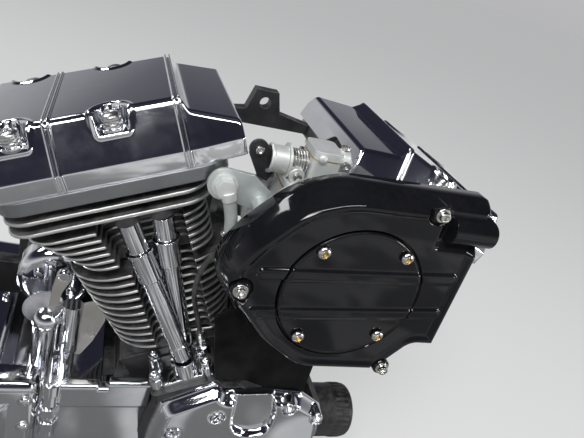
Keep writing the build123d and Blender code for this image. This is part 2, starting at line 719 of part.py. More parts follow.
with BuildPart() as air_cleaner_backplate:
    extrude(cleaner_outline(PLATE_Y, PLATE_INSET), amount=PLATE_T)
    with BuildSketch(side(EAR_Y)):
        with BuildLine():
            Polyline((BREATHER_X, BREATHER_Z + EAR_R), (-36, 381), (-17, 366), (-25, 345), (-48, 351),
                     (BREATHER_X, BREATHER_Z - EAR_R), close=True)
        make_face()
        with Locations((BREATHER_X, BREATHER_Z)):
            Circle(EAR_R)
            Circle(BREATHER_BOLT_R + RUN_GAP, mode=Mode.SUBTRACT)
    extrude(amount=EAR_T)
    with BuildSketch(side(EAR_Y)):
        with Locations((-24, 353)):
            Circle(9)
    extrude(amount=EAR_Y - PLATE_Y)
    with BuildSketch(stub(HOSE_ROUTE[-1], HOSE_ROUTE[-2])):
        Circle(HOSE_R + 2.4)
    extrude(amount=14)
    with BuildSketch(stub(CABLE_ROUTE[-1], CABLE_ROUTE[-2])):
        Circle(CABLE_R + 2)
    extrude(amount=12)
write(air_cleaner_backplate.part, "air_cleaner_backplate")

# Cover: a straight wall, a sloped shoulder, and a shallow pocket that leaves a ridge at the back and top
RING_BOSSES = ((-40.5, 298.5), (122.6, 398.6), (133, 214.8))
RING_BOSS_R = 8.0
SNORKEL_X = 139.0
SNORKEL_L = 49.0
SNORKEL_Z = 382.0
SNORKEL_R = 13.0


def ribs():
    """The two long slanted ribs, drawn into the sketch that calls this."""
    for rib in RIB_OFFSETS:
        with Locations((RIB_X, RIB_Z + rib)):
            SlotOverall(RIB_LENGTH, RIB_W, rotation=RIB_TILT)


pocket = cleaner_outline(CLEANER_FACE_Y, POCKET_INSET).moved(Location((8, 0, -5)))
with BuildPart() as air_cleaner_cover:
    extrude(cleaner_outline(PLATE_Y - PLATE_T), amount=CLEANER_WALL + CLEANER_SHOULDER)
    front = air_cleaner_cover.faces().sort_by(Axis.Y)[0]
    chamfer(front.edges(), CLEANER_SHOULDER_IN, CLEANER_SHOULDER, reference=front)
    extrude(pocket, amount=-POCKET_DEPTH, mode=Mode.SUBTRACT)
    with BuildSketch(side(CLEANER_FACE_Y)):
        with Locations((133, 365)):
            Rectangle(80, 70, align=(Align.MIN, Align.MIN))
    extrude(amount=-12, mode=Mode.SUBTRACT)
    with BuildSketch(Plane(origin=(CRANK_X + SNORKEL_X, CLEANER_FACE_Y + 10, CRANK_Z + SNORKEL_Z),
                           z_dir=(1, 0, 0))):
        Circle(SNORKEL_R)
    extrude(amount=SNORKEL_L)
    with BuildSketch(side(POCKET_Y)):
        ribs()
    extrude(amount=3)
    with BuildSketch(side(POCKET_Y + 6)):
        with Locations((INSERT_X, INSERT_Z)):
            Circle(INSERT_R + INSERT_GROOVE)
    extrude(amount=12, mode=Mode.SUBTRACT)
    with BuildSketch(side(PLATE_Y - PLATE_T)):
        with Locations(*RING_BOSSES):
            Circle(RING_BOSS_R)
    extrude(amount=CLEANER_WALL + CLEANER_SHOULDER - 3)
    with BuildSketch(side(CLEANER_FACE_Y + 3)):
        with Locations(*RING_BOSSES):
            Circle(RING_BOSS_R - 3)
    extrude(amount=-7, mode=Mode.SUBTRACT)
write(air_cleaner_cover.part, "air_cleaner_cover")

with BuildPart() as air_cleaner_insert:
    with BuildSketch(side(POCKET_Y + 6)):
        with Locations((INSERT_X, INSERT_Z)):
            Circle(INSERT_R)
    extrude(amount=7)
    with BuildSketch(side(POCKET_Y - 1)):
        ribs()
        with Locations((INSERT_X, INSERT_Z)):
            Circle(INSERT_R - 1, mode=Mode.INTERSECT)
    extrude(amount=2)
write(air_cleaner_insert.part, "air_cleaner_insert")

# Breather: a hollow bolt through the ear into the rear rocker housing, with the hose's elbow on it
with BuildPart() as breather_fitting:
    for base, radius, length in ((-HOUSING_SIDE, 9, 4), (-HOUSING_SIDE, BREATHER_BOLT_R, 12),
                                 (EAR_Y - EAR_T, 11.7, 3)):
        with BuildSketch(side(base)):
            with Locations((BREATHER_X, BREATHER_Z)):
                Circle(radius)
        extrude(amount=length)
    with BuildSketch(side(EAR_Y - EAR_T - 3)):
        with Locations((BREATHER_X, BREATHER_Z)):
            RegularPolygon(9.5, 6)
    extrude(amount=9)
    with BuildSketch(stub(HOSE_ROUTE[0], HOSE_ROUTE[1])):
        Circle(HOSE_R + 0.9)
    extrude(amount=8)
write(breather_fitting.part, "breather_fitting")

# Oil filter at the front of the case, on a short cast neck
FILTER_X = 118.0
FILTER_Y = -12.0
FILTER_Z = -18.0
FILTER_R = 38.0
FILTER_L = 92.0
with BuildPart() as oil_filter:
    with BuildSketch(Plane(origin=(CRANK_X + CASE_R + 12, FILTER_Y, CRANK_Z + FILTER_Z), z_dir=(1, 0, 0))):
        Circle(FILTER_R)
    extrude(amount=FILTER_L)
    fillet(oil_filter.faces().sort_by(Axis.X)[-1].edges(), 8)
write(oil_filter.part, "oil_filter")

with BuildPart() as filter_neck:
    with BuildSketch(Plane(origin=(CRANK_X + CASE_R + 12, FILTER_Y, CRANK_Z + FILTER_Z), z_dir=(-1, 0, 0))):
        Circle(FILTER_R - 8)
    extrude(amount=30)
    extrude(case_outline(CASE_HALF_LEFT), amount=CASE_HALF_LEFT + CASE_HALF_RIGHT, mode=Mode.SUBTRACT)
write(filter_neck.part, "filter_neck")

# Front mount: a cast plate under the case with two holes for the frame's rubber mount
MOUNT_X = 97.0
MOUNT_Z = -CASE_R + 4
MOUNT_T = 12.0
MOUNT_HOLE_R = 6.5
MOUNT_SPACING = 96.0
with BuildPart() as front_mount:
    with BuildSketch(level(MOUNT_Z - MOUNT_T)):
        with Locations((MOUNT_X, 11)):
            RectangleRounded(60, MOUNT_SPACING + 34, 8)
    extrude(amount=MOUNT_T)
    with BuildSketch(level(MOUNT_Z - MOUNT_T)):
        with Locations((MOUNT_X, 11 - MOUNT_SPACING / 2), (MOUNT_X, 11 + MOUNT_SPACING / 2)):
            Circle(MOUNT_HOLE_R)
    extrude(amount=MOUNT_T, mode=Mode.SUBTRACT)
write(front_mount.part, "front_mount")

# Gearbox case with the swingarm pivot boss at its back
PIVOT_X = -CRANK_X
PIVOT_Z = -CRANK_Z
with BuildPart() as gearbox_case:
    with BuildSketch(side(GEARBOX_LEFT)):
        with BuildLine():
            Polyline((-CASE_BACK, GEARBOX_LOW), (-CASE_BACK, GEARBOX_STEP), (-STEP_BACK, GEARBOX_STEP),
                     (-STEP_BACK - 10, GEARBOX_TOP), (-336, GEARBOX_TOP), (-356, 60), (PIVOT_X, 4),
                     (PIVOT_X, -58), (-380, GEARBOX_LOW), close=True)
        make_face()
    extrude(amount=GEARBOX_LEFT + GEARBOX_RIGHT)
    with BuildSketch(side(PIVOT_HALF)):
        with Locations((PIVOT_X, PIVOT_Z)):
            Circle(PIVOT_BOSS_R)
    extrude(amount=2 * PIVOT_HALF)
    with BuildSketch(side(PIVOT_HALF)):
        with Locations((PIVOT_X, PIVOT_Z)):
            Circle(PIVOT_BORE_R)
    extrude(amount=2 * PIVOT_HALF, mode=Mode.SUBTRACT)
    with BuildSketch(side(PRIMARY_Y)):
        with Locations((-212, 60), (-212, -42), (-372, 40)):
            Circle(11)
    extrude(amount=PRIMARY_Y - GEARBOX_LEFT)
    with BuildSketch(side(PRIMARY_Y - 2)):
        with Locations((SHAFT_X, SHAFT_Z)):
            Circle(STUB_R)
    extrude(amount=PRIMARY_Y - 2 - GEARBOX_LEFT)
write(gearbox_case.part, "gearbox_case")

# Polished shoulder on the right of the case: a rounded wall in three steps round a sunken floor
SHOULDER_EDGE_R = 5.0
SHOULDER_STEPS = (
    # front end, length, height over the floor
    (-79, 46, 17), (-121, 20, 8), (-137, 40, 12))
with BuildPart() as gearbox_shoulder:
    for front_x, length, rise in SHOULDER_STEPS:
        top = GEARBOX_STEP + rise
        with BuildSketch(Plane(origin=(CRANK_X + front_x, 0, CRANK_Z), x_dir=(0, 1, 0),
                               z_dir=(1, 0, 0))) as profile:
            with BuildLine():
                Polyline((-CASE_HALF_RIGHT, GEARBOX_STEP), (-61, GEARBOX_STEP), (-66, top),
                         (-SHOULDER_RIGHT, top), (-SHOULDER_RIGHT, 60), (-75, 54), (-74, -50),
                         (-CASE_HALF_RIGHT, -50), close=True)
            make_face()
            fillet(profile.vertices().group_by(Axis.Y)[-1], SHOULDER_EDGE_R)
        extrude(amount=-length)
    extrude(cam_outline(0), amount=150, mode=Mode.SUBTRACT)
    with BuildSketch(side(GEARBOX_LEFT)):
        with BuildLine():
            Polyline((-CASE_BACK, GEARBOX_LOW - 5), (-CASE_BACK, GEARBOX_STEP), (-188, GEARBOX_STEP),
                     (-188, GEARBOX_LOW - 5), close=True)
        make_face()
    extrude(amount=GEARBOX_LEFT + GEARBOX_RIGHT, mode=Mode.SUBTRACT)
write(gearbox_shoulder.part, "gearbox_shoulder")


def side_cover_outline(y):
    """Outline of the gearbox side cover."""
    with BuildSketch(side(y)) as face:
        with BuildLine():
            Polyline((-196, SIDE_COVER_TOP), (-330, SIDE_COVER_TOP), (-366, 60), (-366, -40), (-340, -64),
                     (-220, -64), (-196, -40), close=True)
        make_face()
        fillet(face.vertices(), radius=14)
    return face.sketch


with BuildPart() as gearbox_side_cover:
    extrude(side_cover_outline(-GEARBOX_RIGHT), amount=SIDE_COVER_T)
    fillet(gearbox_side_cover.faces().sort_by(Axis.Y)[0].edges(), SIDE_COVER_R)
write(gearbox_side_cover.part, "gearbox_side_cover")

# Gearbox top plate, and the oil filler that stands in front of it
TOP_PLATE_T = 7.0
with BuildPart() as gearbox_top_plate:
    with BuildSketch(level(GEARBOX_TOP)):
        with Locations((-287, 4)):
            RectangleRounded(92, 112, 12)
    extrude(amount=TOP_PLATE_T)
    chamfer(gearbox_top_plate.faces().sort_by(Axis.Z)[-1].edges(), 2)
write(gearbox_top_plate.part, "gearbox_top_plate")

# The filler has a domed column under a slanted hood, and a taller column beside it
FILLER_X = -198.0
FILLER_Y = -41.0
FILLER_R = 13.5
FILLER_H = 72.0
DOME_R = 15.0
HOOD_R = 21.0
HOOD_T = 4.0
SPOUT_X = -173.5
SPOUT_R = 10.5
SPOUT_H = 94.0
SPOUT_FOOT_R = 8.5
SPOUT_FOOT_H = 32.0
with BuildPart() as oil_filler:
    with BuildSketch(level(GEARBOX_STEP)):
        with Locations((FILLER_X, FILLER_Y)):
            Circle(FILLER_R)
    extrude(amount=FILLER_H)
    with Locations((CRANK_X + FILLER_X, FILLER_Y, CRANK_Z + GEARBOX_STEP + FILLER_H)):
        Sphere(DOME_R)
    with BuildSketch(level(GEARBOX_STEP)):
        with Locations((SPOUT_X, FILLER_Y)):
            Circle(SPOUT_FOOT_R)
        with Locations(((FILLER_X + SPOUT_X) / 2, FILLER_Y)):
            Rectangle(SPOUT_X - FILLER_X, SPOUT_R)
    extrude(amount=SPOUT_FOOT_H)
    with BuildSketch(level(GEARBOX_STEP + SPOUT_FOOT_H)):
        with Locations((SPOUT_X, FILLER_Y)):
            Circle(SPOUT_R)
    extrude(amount=SPOUT_H - SPOUT_FOOT_H)
    spout_base = (CRANK_X + FILLER_X - 5, FILLER_Y + 2, CRANK_Z + GEARBOX_STEP + FILLER_H + DOME_R)
    with BuildSketch(Plane(origin=spout_base, x_dir=(1, 0, 0.1), z_dir=(-0.35, -0.75, 1))):
        Ellipse(HOOD_R, HOOD_R * 0.8)
    extrude(amount=-HOOD_T)
write(oil_filler.part, "oil_filler")

# Line fitting: a stack of hexagons and collars on a boss beside the side cover
FITTING_X = -184.5
FITTING_Y = -86.0
FITTING_BASE_Z = 36.0
FITTING_BOSS_R = 7.0
FITTING_STEPS = (
    # radius, height, six-sided
    (9, 10, False), (11, 12, True), (8.5, 8, False), (10.5, 12, True), (7.5, 19, False), (9.5, 15, False))
with BuildPart() as line_fitting:
    with BuildSketch(side(-GEARBOX_RIGHT)):
        with Locations((FITTING_X, FITTING_BASE_Z - 8)):
            Circle(FITTING_BOSS_R)
    extrude(amount=FITTING_BOSS_R - FITTING_Y - GEARBOX_RIGHT)
    base = FITTING_BASE_Z - 8
    for radius, height, six_sided in FITTING_STEPS:
        with BuildSketch(level(base)):
            with Locations((FITTING_X, FITTING_Y)):
                if six_sided:
                    RegularPolygon(radius, 6)
                else:
                    Circle(radius)
        extrude(amount=height)
        base += height
write(line_fitting.part, "line_fitting")

# Primary drive: an inner case behind the chain, and the outer cover with its two lids
def primary_outline(y, inset=0.0):
    """Outline round the crankshaft and the clutch."""
    with BuildSketch(side(y)) as face:
        Circle(PRIMARY_CRANK_R - inset)
        with Locations((SHAFT_X, SHAFT_Z)):
            Circle(PRIMARY_CLUTCH_R - inset)
        make_hull()
    return face.sketch


with BuildPart() as primary_inner:
    extrude(primary_outline(PRIMARY_Y + PRIMARY_INNER_T), amount=PRIMARY_INNER_T)
    with BuildSketch(side(PRIMARY_Y + PRIMARY_INNER_T)):
        with Locations((STARTER_X, STARTER_Z)):
            Circle(STARTER_R + 12)
        with Locations((STARTER_X, STARTER_Z - 50)):
            Rectangle(2 * STARTER_R + 24, 100)
    extrude(amount=PRIMARY_INNER_T)
write(primary_inner.part, "primary_inner")

with BuildPart() as primary_cover:
    extrude(primary_outline(PRIMARY_Y + PRIMARY_INNER_T + PRIMARY_COVER_T, 1), amount=PRIMARY_COVER_T)
    fillet(primary_cover.faces().sort_by(Axis.Y)[-1].edges(), PRIMARY_COVER_R)
write(primary_cover.part, "primary_cover")

LID_FACE_Y = PRIMARY_Y + PRIMARY_INNER_T + PRIMARY_COVER_T
DERBY_R = 74.0
LID_T = 7.0
with BuildPart() as clutch_lid:
    with BuildSketch(side(LID_FACE_Y + LID_T)):
        with Locations((SHAFT_X, SHAFT_Z)):
            Circle(DERBY_R)
    extrude(amount=LID_T)
    chamfer(clutch_lid.faces().sort_by(Axis.Y)[-1].edges(), 3)
write(clutch_lid.part, "clutch_lid")

with BuildPart() as inspection_lid:
    with BuildSketch(side(LID_FACE_Y + LID_T)):
        with Locations((-128, 4)):
            SlotOverall(112, 66)
    extrude(amount=LID_T)
    chamfer(inspection_lid.faces().sort_by(Axis.Y)[-1].edges(), 2.5)
write(inspection_lid.part, "inspection_lid")

# Starter: motor body behind the primary, with a domed polished end cap on the right
with BuildPart() as starter_motor:
    with BuildSketch(side(PRIMARY_Y)):
        with Locations((STARTER_X, STARTER_Z)):
            Circle(STARTER_R)
    extrude(amount=PRIMARY_Y - STARTER_CAP_Y)
write(starter_motor.part, "starter_motor")

with BuildPart() as starter_cap:
    with BuildSketch(side(STARTER_CAP_Y)):
        with Locations((STARTER_X, STARTER_Z)):
            Circle(STARTER_CAP_R)
    extrude(amount=STARTER_CAP_Y - STARTER_END_Y)
    fillet(starter_cap.faces().sort_by(Axis.Y)[0].edges(), 12)
write(starter_cap.part, "starter_cap")

# Belt pulley: toothed rim on a web, turning on the gearbox's hollow stub
with BuildPart() as belt_pulley:
    with BuildSketch(side(GEARBOX_LEFT + PULLEY_GAP + PULLEY_W)):
        with Locations((SHAFT_X, SHAFT_Z)):
            Circle(PULLEY_R)
    extrude(amount=PULLEY_W)
    with BuildSketch(side(GEARBOX_LEFT + PULLEY_GAP + PULLEY_W)):
        with Locations((SHAFT_X, SHAFT_Z)):
            with PolarLocations(PULLEY_R, PULLEY_TEETH):
                Circle(2.6)
    extrude(amount=PULLEY_W, mode=Mode.SUBTRACT)
    with BuildSketch(side(GEARBOX_LEFT + PULLEY_GAP + PULLEY_W)):
        with Locations((SHAFT_X, SHAFT_Z)):
            Circle(STUB_R + RUN_GAP)
    extrude(amount=PULLEY_W, mode=Mode.SUBTRACT)
write(belt_pulley.part, "belt_pulley")

# Spark plugs on the left of the heads
with BuildPart() as spark_plug:
    with BuildSketch(plug_seat()):
        Circle(PLUG_R)
    extrude(amount=PLUG_L)
write_bank(spark_plug.part, "spark_plug")

# Top mount: a cast bracket between the rocker housings, with an eye for the stabiliser link
BRACKET_Y = 62.0
BRACKET_T = 14.0
EYE_X = 0.0
EYE_Z = 404.0
EYE_R = 6.5
foot_x, foot_z = vee_point(HOUSING_VEE + SEAT_GAP, HOUSING_JOINT + 1)
heel_x, heel_z = vee_point(HOUSING_VEE + SEAT_GAP, COVER_JOINT - 1)
with BuildPart() as top_mount:
    with BuildSketch(side(BRACKET_Y)):
        with BuildLine():
            Polyline((foot_x, foot_z), (-foot_x, foot_z), (-heel_x, heel_z), (20, EYE_Z - 10),
                     (13, EYE_Z + 14), (-13, EYE_Z + 14), (-20, EYE_Z - 10), (heel_x, heel_z), close=True)
        make_face()
        with Locations((EYE_X, EYE_Z)):
            Circle(EYE_R, mode=Mode.SUBTRACT)
    extrude(amount=BRACKET_T)
write(top_mount.part, "top_mount")
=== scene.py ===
import math
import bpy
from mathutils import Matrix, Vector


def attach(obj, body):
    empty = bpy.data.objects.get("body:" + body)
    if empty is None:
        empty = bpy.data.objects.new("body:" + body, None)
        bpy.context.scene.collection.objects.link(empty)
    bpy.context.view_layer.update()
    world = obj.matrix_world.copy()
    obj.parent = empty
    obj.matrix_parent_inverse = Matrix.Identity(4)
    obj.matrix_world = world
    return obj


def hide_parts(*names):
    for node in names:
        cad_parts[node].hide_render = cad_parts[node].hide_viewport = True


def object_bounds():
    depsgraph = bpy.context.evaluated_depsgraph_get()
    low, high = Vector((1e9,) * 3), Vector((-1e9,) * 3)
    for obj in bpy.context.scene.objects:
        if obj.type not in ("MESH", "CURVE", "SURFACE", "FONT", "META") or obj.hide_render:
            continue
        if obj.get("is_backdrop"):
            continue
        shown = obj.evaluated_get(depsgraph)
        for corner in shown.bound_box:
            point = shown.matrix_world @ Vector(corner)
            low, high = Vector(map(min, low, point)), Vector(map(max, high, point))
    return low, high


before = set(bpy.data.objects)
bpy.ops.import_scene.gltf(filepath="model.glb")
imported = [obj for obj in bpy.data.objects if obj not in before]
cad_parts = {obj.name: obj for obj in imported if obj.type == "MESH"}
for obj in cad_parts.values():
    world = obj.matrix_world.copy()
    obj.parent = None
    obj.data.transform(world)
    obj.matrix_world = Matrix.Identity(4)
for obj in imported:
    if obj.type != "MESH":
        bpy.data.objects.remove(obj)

from types import SimpleNamespace

import bmesh
import bpy
import numpy as np
from mathutils import Matrix, Vector

cad_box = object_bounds()

# Studio
# A plain pale floor under the power unit, and a pale world that turns darker overhead. Mirrors see
# the floor with painted shade near the unit and soft paler patches that are painted reflections of a room.
FLOOR_DROP = 0.004
FLOOR_SIZE = 90
FLOOR_X = 0.3
CAMERA_GLOW, CAMERA_SHARE = 0.60, 0.55
MIRROR_SHARE = 0.85
NEAR, FAR = 0.7, 2.8
# Floor glow seen in mirrors: painted shade near the unit, full glow far off, and painted reflection patches.
MIRROR_PAINTED_SHADE_GLOW, FAR_GLOW, PAINTED_REFLECTION_GLOW = 0.04, 0.56, 0.42
AMBIENT = (0.42, 0.43, 0.45, 1)
SKY_STOPS = (
    # height of the direction, grey and how much bluer it is
    (0.0, 0.47, 1.03), (0.10, 0.50, 1.03), (0.24, 0.14, 1.15),
    (0.38, 0.026, 1.65), (0.80, 0.016, 1.65), (1.0, 0.06, 1.3))


def new_material(name):
    """A material, its node tree and its Principled shader."""
    material = bpy.data.materials.new(name)
    material.use_nodes = True
    return material, material.node_tree, material.node_tree.nodes["Principled BSDF"]


def add_node(tree, kind, values=None, settings=None):
    """A node of a kind in a tree, with values on its sockets and settings on itself."""
    made = tree.nodes.new(kind)
    for key, value in (settings or {}).items():
        setattr(made, key, value)
    for key, value in (values or {}).items():
        if isinstance(value, bpy.types.NodeSocket):
            tree.links.new(value, made.inputs[key])
        else:
            made.inputs[key].default_value = value
    return made


def number(tree, operation, first, second=0.0, clamp=False):
    """Output of a Math node on two numbers or sockets."""
    return add_node(tree, "ShaderNodeMath", {0: first, 1: second},
                    {"operation": operation, "use_clamp": clamp}).outputs[0]


def mapped(tree, value, first, last, low=0.0, high=1.0, kind="LINEAR"):
    """A number that goes from first to last as a value goes from low to high."""
    return add_node(tree, "ShaderNodeMapRange", {0: value, 1: low, 2: high, 3: first, 4: last},
                    {"interpolation_type": kind}).outputs[0]


def blend_colors(tree, factor, first, second):
    """Output of a Mix node between two colours or colour sockets."""
    made = add_node(tree, "ShaderNodeMix", None, {"data_type": "RGBA"})
    for socket, value in ((made.inputs[0], factor), (made.inputs[6], first), (made.inputs[7], second)):
        if isinstance(value, bpy.types.NodeSocket):
            tree.links.new(value, socket)
        else:
            socket.default_value = value
    return made.outputs[2]


def seen_share(tree):
    """1 for rays of the camera, of mirrors and of glass, and 0 for the light on the object."""
    path = add_node(tree, "ShaderNodeLightPath")
    seen = number(tree, "MAXIMUM", path.outputs["Is Camera Ray"], path.outputs["Is Glossy Ray"])
    return number(tree, "MAXIMUM", seen, path.outputs["Is Transmission Ray"])


floor_place = (FLOOR_X, 0, cad_box[0].z - FLOOR_DROP)
bpy.ops.mesh.primitive_plane_add(size=FLOOR_SIZE, location=floor_place)
floor = bpy.context.object
floor.name = "floor"
floor_paint, tree, shader = new_material("floor_paint")
shader.inputs["Base Color"].default_value = (0.80, 0.80, 0.79, 1)
shader.inputs["Roughness"].default_value = 0.6
camera_ray = add_node(tree, "ShaderNodeLightPath").outputs["Is Camera Ray"]
position = add_node(tree, "ShaderNodeNewGeometry").outputs["Position"]
distance = add_node(tree, "ShaderNodeVectorMath", {0: position, 1: floor_place}, {"operation": "DISTANCE"})
painted_reflection_noise = add_node(tree, "ShaderNodeTexNoise", {
    "Vector": position, "Scale": 6.0, "Detail": 1.0, "Roughness": 0.4, "Distortion": 0.6})
# For mirror rays the floor's glow is painted: dark near the unit as painted shade, with pale noise patches as
# painted reflections.
painted_mirror_shade_and_reflections = number(
    tree, "ADD", mapped(tree, distance.outputs["Value"], MIRROR_PAINTED_SHADE_GLOW, FAR_GLOW, NEAR, FAR, "SMOOTHSTEP"),
    mapped(tree, painted_reflection_noise.outputs[0], 0.0, PAINTED_REFLECTION_GLOW, 0.50, 0.62, "SMOOTHSTEP"))
strength = add_node(tree, "ShaderNodeMix", {0: camera_ray, 2: painted_mirror_shade_and_reflections, 3: CAMERA_GLOW}).outputs[0]
share = add_node(tree, "ShaderNodeMix", {0: camera_ray, 2: MIRROR_SHARE, 3: CAMERA_SHARE}).outputs[0]
glow = add_node(tree, "ShaderNodeEmission", {"Color": (1, 1, 1, 1), "Strength": strength})
veil = add_node(tree, "ShaderNodeMixShader", {
    0: number(tree, "MULTIPLY", seen_share(tree), share), 1: shader.outputs[0], 2: glow.outputs[0]})
tree.links.new(veil.outputs[0], tree.nodes["Material Output"].inputs["Surface"])
floor.data.materials.append(floor_paint)
floor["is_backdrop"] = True

world = bpy.data.worlds.new("studio")
bpy.context.scene.world = world
world.use_nodes = True
tree = world.node_tree
direction = add_node(tree, "ShaderNodeTexCoord").outputs["Generated"]
height = add_node(tree, "ShaderNodeSeparateXYZ", {0: direction}).outputs["Z"]
sky = add_node(tree, "ShaderNodeValToRGB", {0: height})
while len(sky.color_ramp.elements) < len(SKY_STOPS):
    sky.color_ramp.elements.new(1.0)
for element, (place, grey, bluer) in zip(sky.color_ramp.elements, SKY_STOPS):
    element.position = place
    element.color = (grey, grey, grey * bluer, 1)
tree.links.new(blend_colors(tree, seen_share(tree), AMBIENT, sky.outputs["Color"]),
               tree.nodes["Background"].inputs["Color"])


def add_object(name, data):
    """An object made of some data, linked into the scene."""
    made = bpy.data.objects.new(name, data)
    bpy.context.scene.collection.objects.link(made)
    return made


def softbox(name, place, target, width, height, power):
    """A rectangular area light at place that faces target."""
    data = bpy.data.lights.new(name, "AREA")
    data.shape = "RECTANGLE"
    data.size, data.size_y = width, height
    data.energy = power
    lamp = add_object(name, data)
    lamp.location = place
    lamp.rotation_euler = (Vector(target) - Vector(place)).to_track_quat("-Z", "Y").to_euler()


softbox("key", (-0.7, -1.7, 2.2), (0.35, 0, 0.2), 0.9, 0.5, 38)
softbox("strip", (0.25, -1.1, 2.0), (0.40, -0.1, 0.3), 1.9, 0.19, 20)
softbox("fill", (2.3, -1.3, 0.75), (0.4, 0, 0.2), 0.13, 0.75, 13)
softbox("back", (-1.7, 1.5, 2.3), (0.35, 0, 0.2), 1.4, 0.5, 30)

# Camera
# The photograph was taken from above and behind the right side, with the picture tilted.
CAMERA_PLACE = Vector((0.2503, -0.5418, 0.6059))
CAMERA_RIGHT = Vector((0.92877079, -0.24445929, 0.27861168))
CAMERA_UP = Vector((-0.12265274, 0.50662759, 0.85339603))
CAMERA_BACK = Vector((-0.34977295, -0.82678179, 0.44055731))
CAMERA_LENS = 34.17
camera_data = bpy.data.cameras.new("camera")
camera_data.sensor_width = 36
camera_data.lens = CAMERA_LENS
camera_data.clip_start, camera_data.clip_end = 0.02, 120
camera = add_object("camera", camera_data)
camera.matrix_world = Matrix.Translation(CAMERA_PLACE) @ Matrix(
    (CAMERA_RIGHT, CAMERA_UP, CAMERA_BACK)
).transposed().to_4x4()
bpy.context.scene.camera = camera
bpy.context.scene.view_settings.view_transform = "Standard"

# Breather hose and sender cable
# A moulded rubber hose carries the crankcase's breath from the bolt on the rear head to the
# air cleaner. A thin sheathed cable runs from the oil pressure sender up behind the cleaner.
CRANK = np.array((0.425, 0.0, 0.030))
HOSE_R = 0.0061
HOSE_ROUTE = ((-56.0, -111.4, 357.5), (-50.5, -111.4, 343.0), (-47.6, -111.4, 326.0),
              (-45.4, -111.4, 304.5), (-39.0, -111.4, 284.5))
CABLE_R = 0.0028
CABLE_ROUTE = ((-37.3, -64.0, 163.2), (-43.0, -66.0, 182.0), (-53.0, -74.0, 208.0), (-61.0, -86.0, 238.0),
               (-60.0, -92.0, 268.0), (-51.0, -95.0, 293.0), (-39.5, -101.0, 311.0), (-35.0, -112.0, 322.0))


def node_group(name, inputs, outputs):
    """An empty node group with named number inputs and outputs, and its two end nodes."""
    group = bpy.data.node_groups.new(name, "ShaderNodeTree")
    for label in inputs:
        group.interface.new_socket(label, in_out="INPUT", socket_type="NodeSocketFloat")
    for label, kind in outputs:
        group.interface.new_socket(label, in_out="OUTPUT", socket_type=kind)
    return group, group.nodes.new("NodeGroupInput"), group.nodes.new("NodeGroupOutput")


def noise(tree, scale, detail=2.0, rough=0.5, vector=None):
    """Output of a Noise node on the piece's own coordinates, in waves per metre."""
    if vector is None:
        vector = add_node(tree, "ShaderNodeTexCoord").outputs["Object"]
    return add_node(tree, "ShaderNodeTexNoise", {
        "Vector": vector, "Scale": scale, "Detail": detail, "Roughness": rough}).outputs[0]


def grain_group():
    """Fine surface grain and broad handling patches: two noises at the sizes that are asked for."""
    group, given, result = node_group(
        "grain", ("Fine Scale", "Patch Scale"),
        (("Fine", "NodeSocketFloat"), ("Patches", "NodeSocketFloat")))
    fine = noise(group, given.outputs[0], 3.0, 0.6)
    patches = noise(group, given.outputs[1], 4.0, 0.55)
    group.links.new(fine, result.inputs[0])
    group.links.new(mapped(group, patches, 0.0, 1.0, 0.32, 0.68), result.inputs[1])
    return group


def dust_group():
    """Dust that settles on faces that look up: their upward slope times a broken noise."""
    group, given, result = node_group("dust", ("Amount", "Scale"), (("Mask", "NodeSocketFloat"),))
    normal = add_node(group, "ShaderNodeNewGeometry").outputs["Normal"]
    upward = add_node(group, "ShaderNodeSeparateXYZ", {0: normal}).outputs[2]
    broken = mapped(group, noise(group, given.outputs[1], 6.0, 0.7), 0.0, 1.0, 0.42, 0.75)
    mask = number(group, "MULTIPLY", mapped(group, upward, 0.12, 1.0, 0.1, 0.95), broken)
    group.links.new(number(group, "MULTIPLY", mask, given.outputs[0], True), result.inputs[0])
    return group


grain = grain_group()
dust = dust_group()


def use_group(tree, group, *values):
    """A node group placed in a material, with its input values."""
    made = tree.nodes.new("ShaderNodeGroup")
    made.node_tree = group
    for socket, value in zip(made.inputs, values):
        socket.default_value = value
    return made


def add_bump(tree, shader, height, strength, distance, normal=None):
    """A Bump node on the shader's normal, over another normal where one is given."""
    values = {"Height": height, "Strength": strength, "Distance": distance}
    if normal is not None:
        values["Normal"] = normal
    tree.links.new(add_node(tree, "ShaderNodeBump", values).outputs[0], shader.inputs["Normal"])


def rubber_paint(name, clean, dusty, rough):
    """Rubber: a matt colour with paler dust patches, rubbed smoother in places, and a fine skin."""
    paint, tree, shader = new_material(name)
    marks = use_group(tree, grain, 2600.0, 70.0)
    settled = use_group(tree, dust, 0.5, 140.0).outputs[0]
    color = blend_colors(tree, marks.outputs[1], clean, dusty)
    color = blend_colors(tree, settled, color, (0.42, 0.41, 0.38, 1))
    tree.links.new(color, shader.inputs["Base Color"])
    tree.links.new(mapped(tree, marks.outputs[1], rough - 0.12, rough + 0.08), shader.inputs["Roughness"])
    add_bump(tree, shader, marks.outputs[0], 0.25, 0.0002)
    return paint


def route_curve(name, route, radius):
    """A smooth round cord: one NURBS spline whose control points are the route's points."""
    data = bpy.data.curves.new(name, "CURVE")
    data.dimensions = "3D"
    data.bevel_depth = radius
    data.bevel_resolution = 6
    data.resolution_u = 16
    data.use_fill_caps = True
    spline = data.splines.new("NURBS")
    spline.points.add(len(route) - 1)
    for point, place in zip(spline.points, route):
        point.co = (*(CRANK + np.array(place) / 1000), 1)
    spline.order_u = 3
    spline.use_endpoint_u = True
    return add_object(name, data)


def fit(piece, material):
    """Gives a piece its finish, and lets it ride on the power unit."""
    piece.data.materials.clear()
    piece.data.materials.append(material)
    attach(piece, "unit")
    return piece


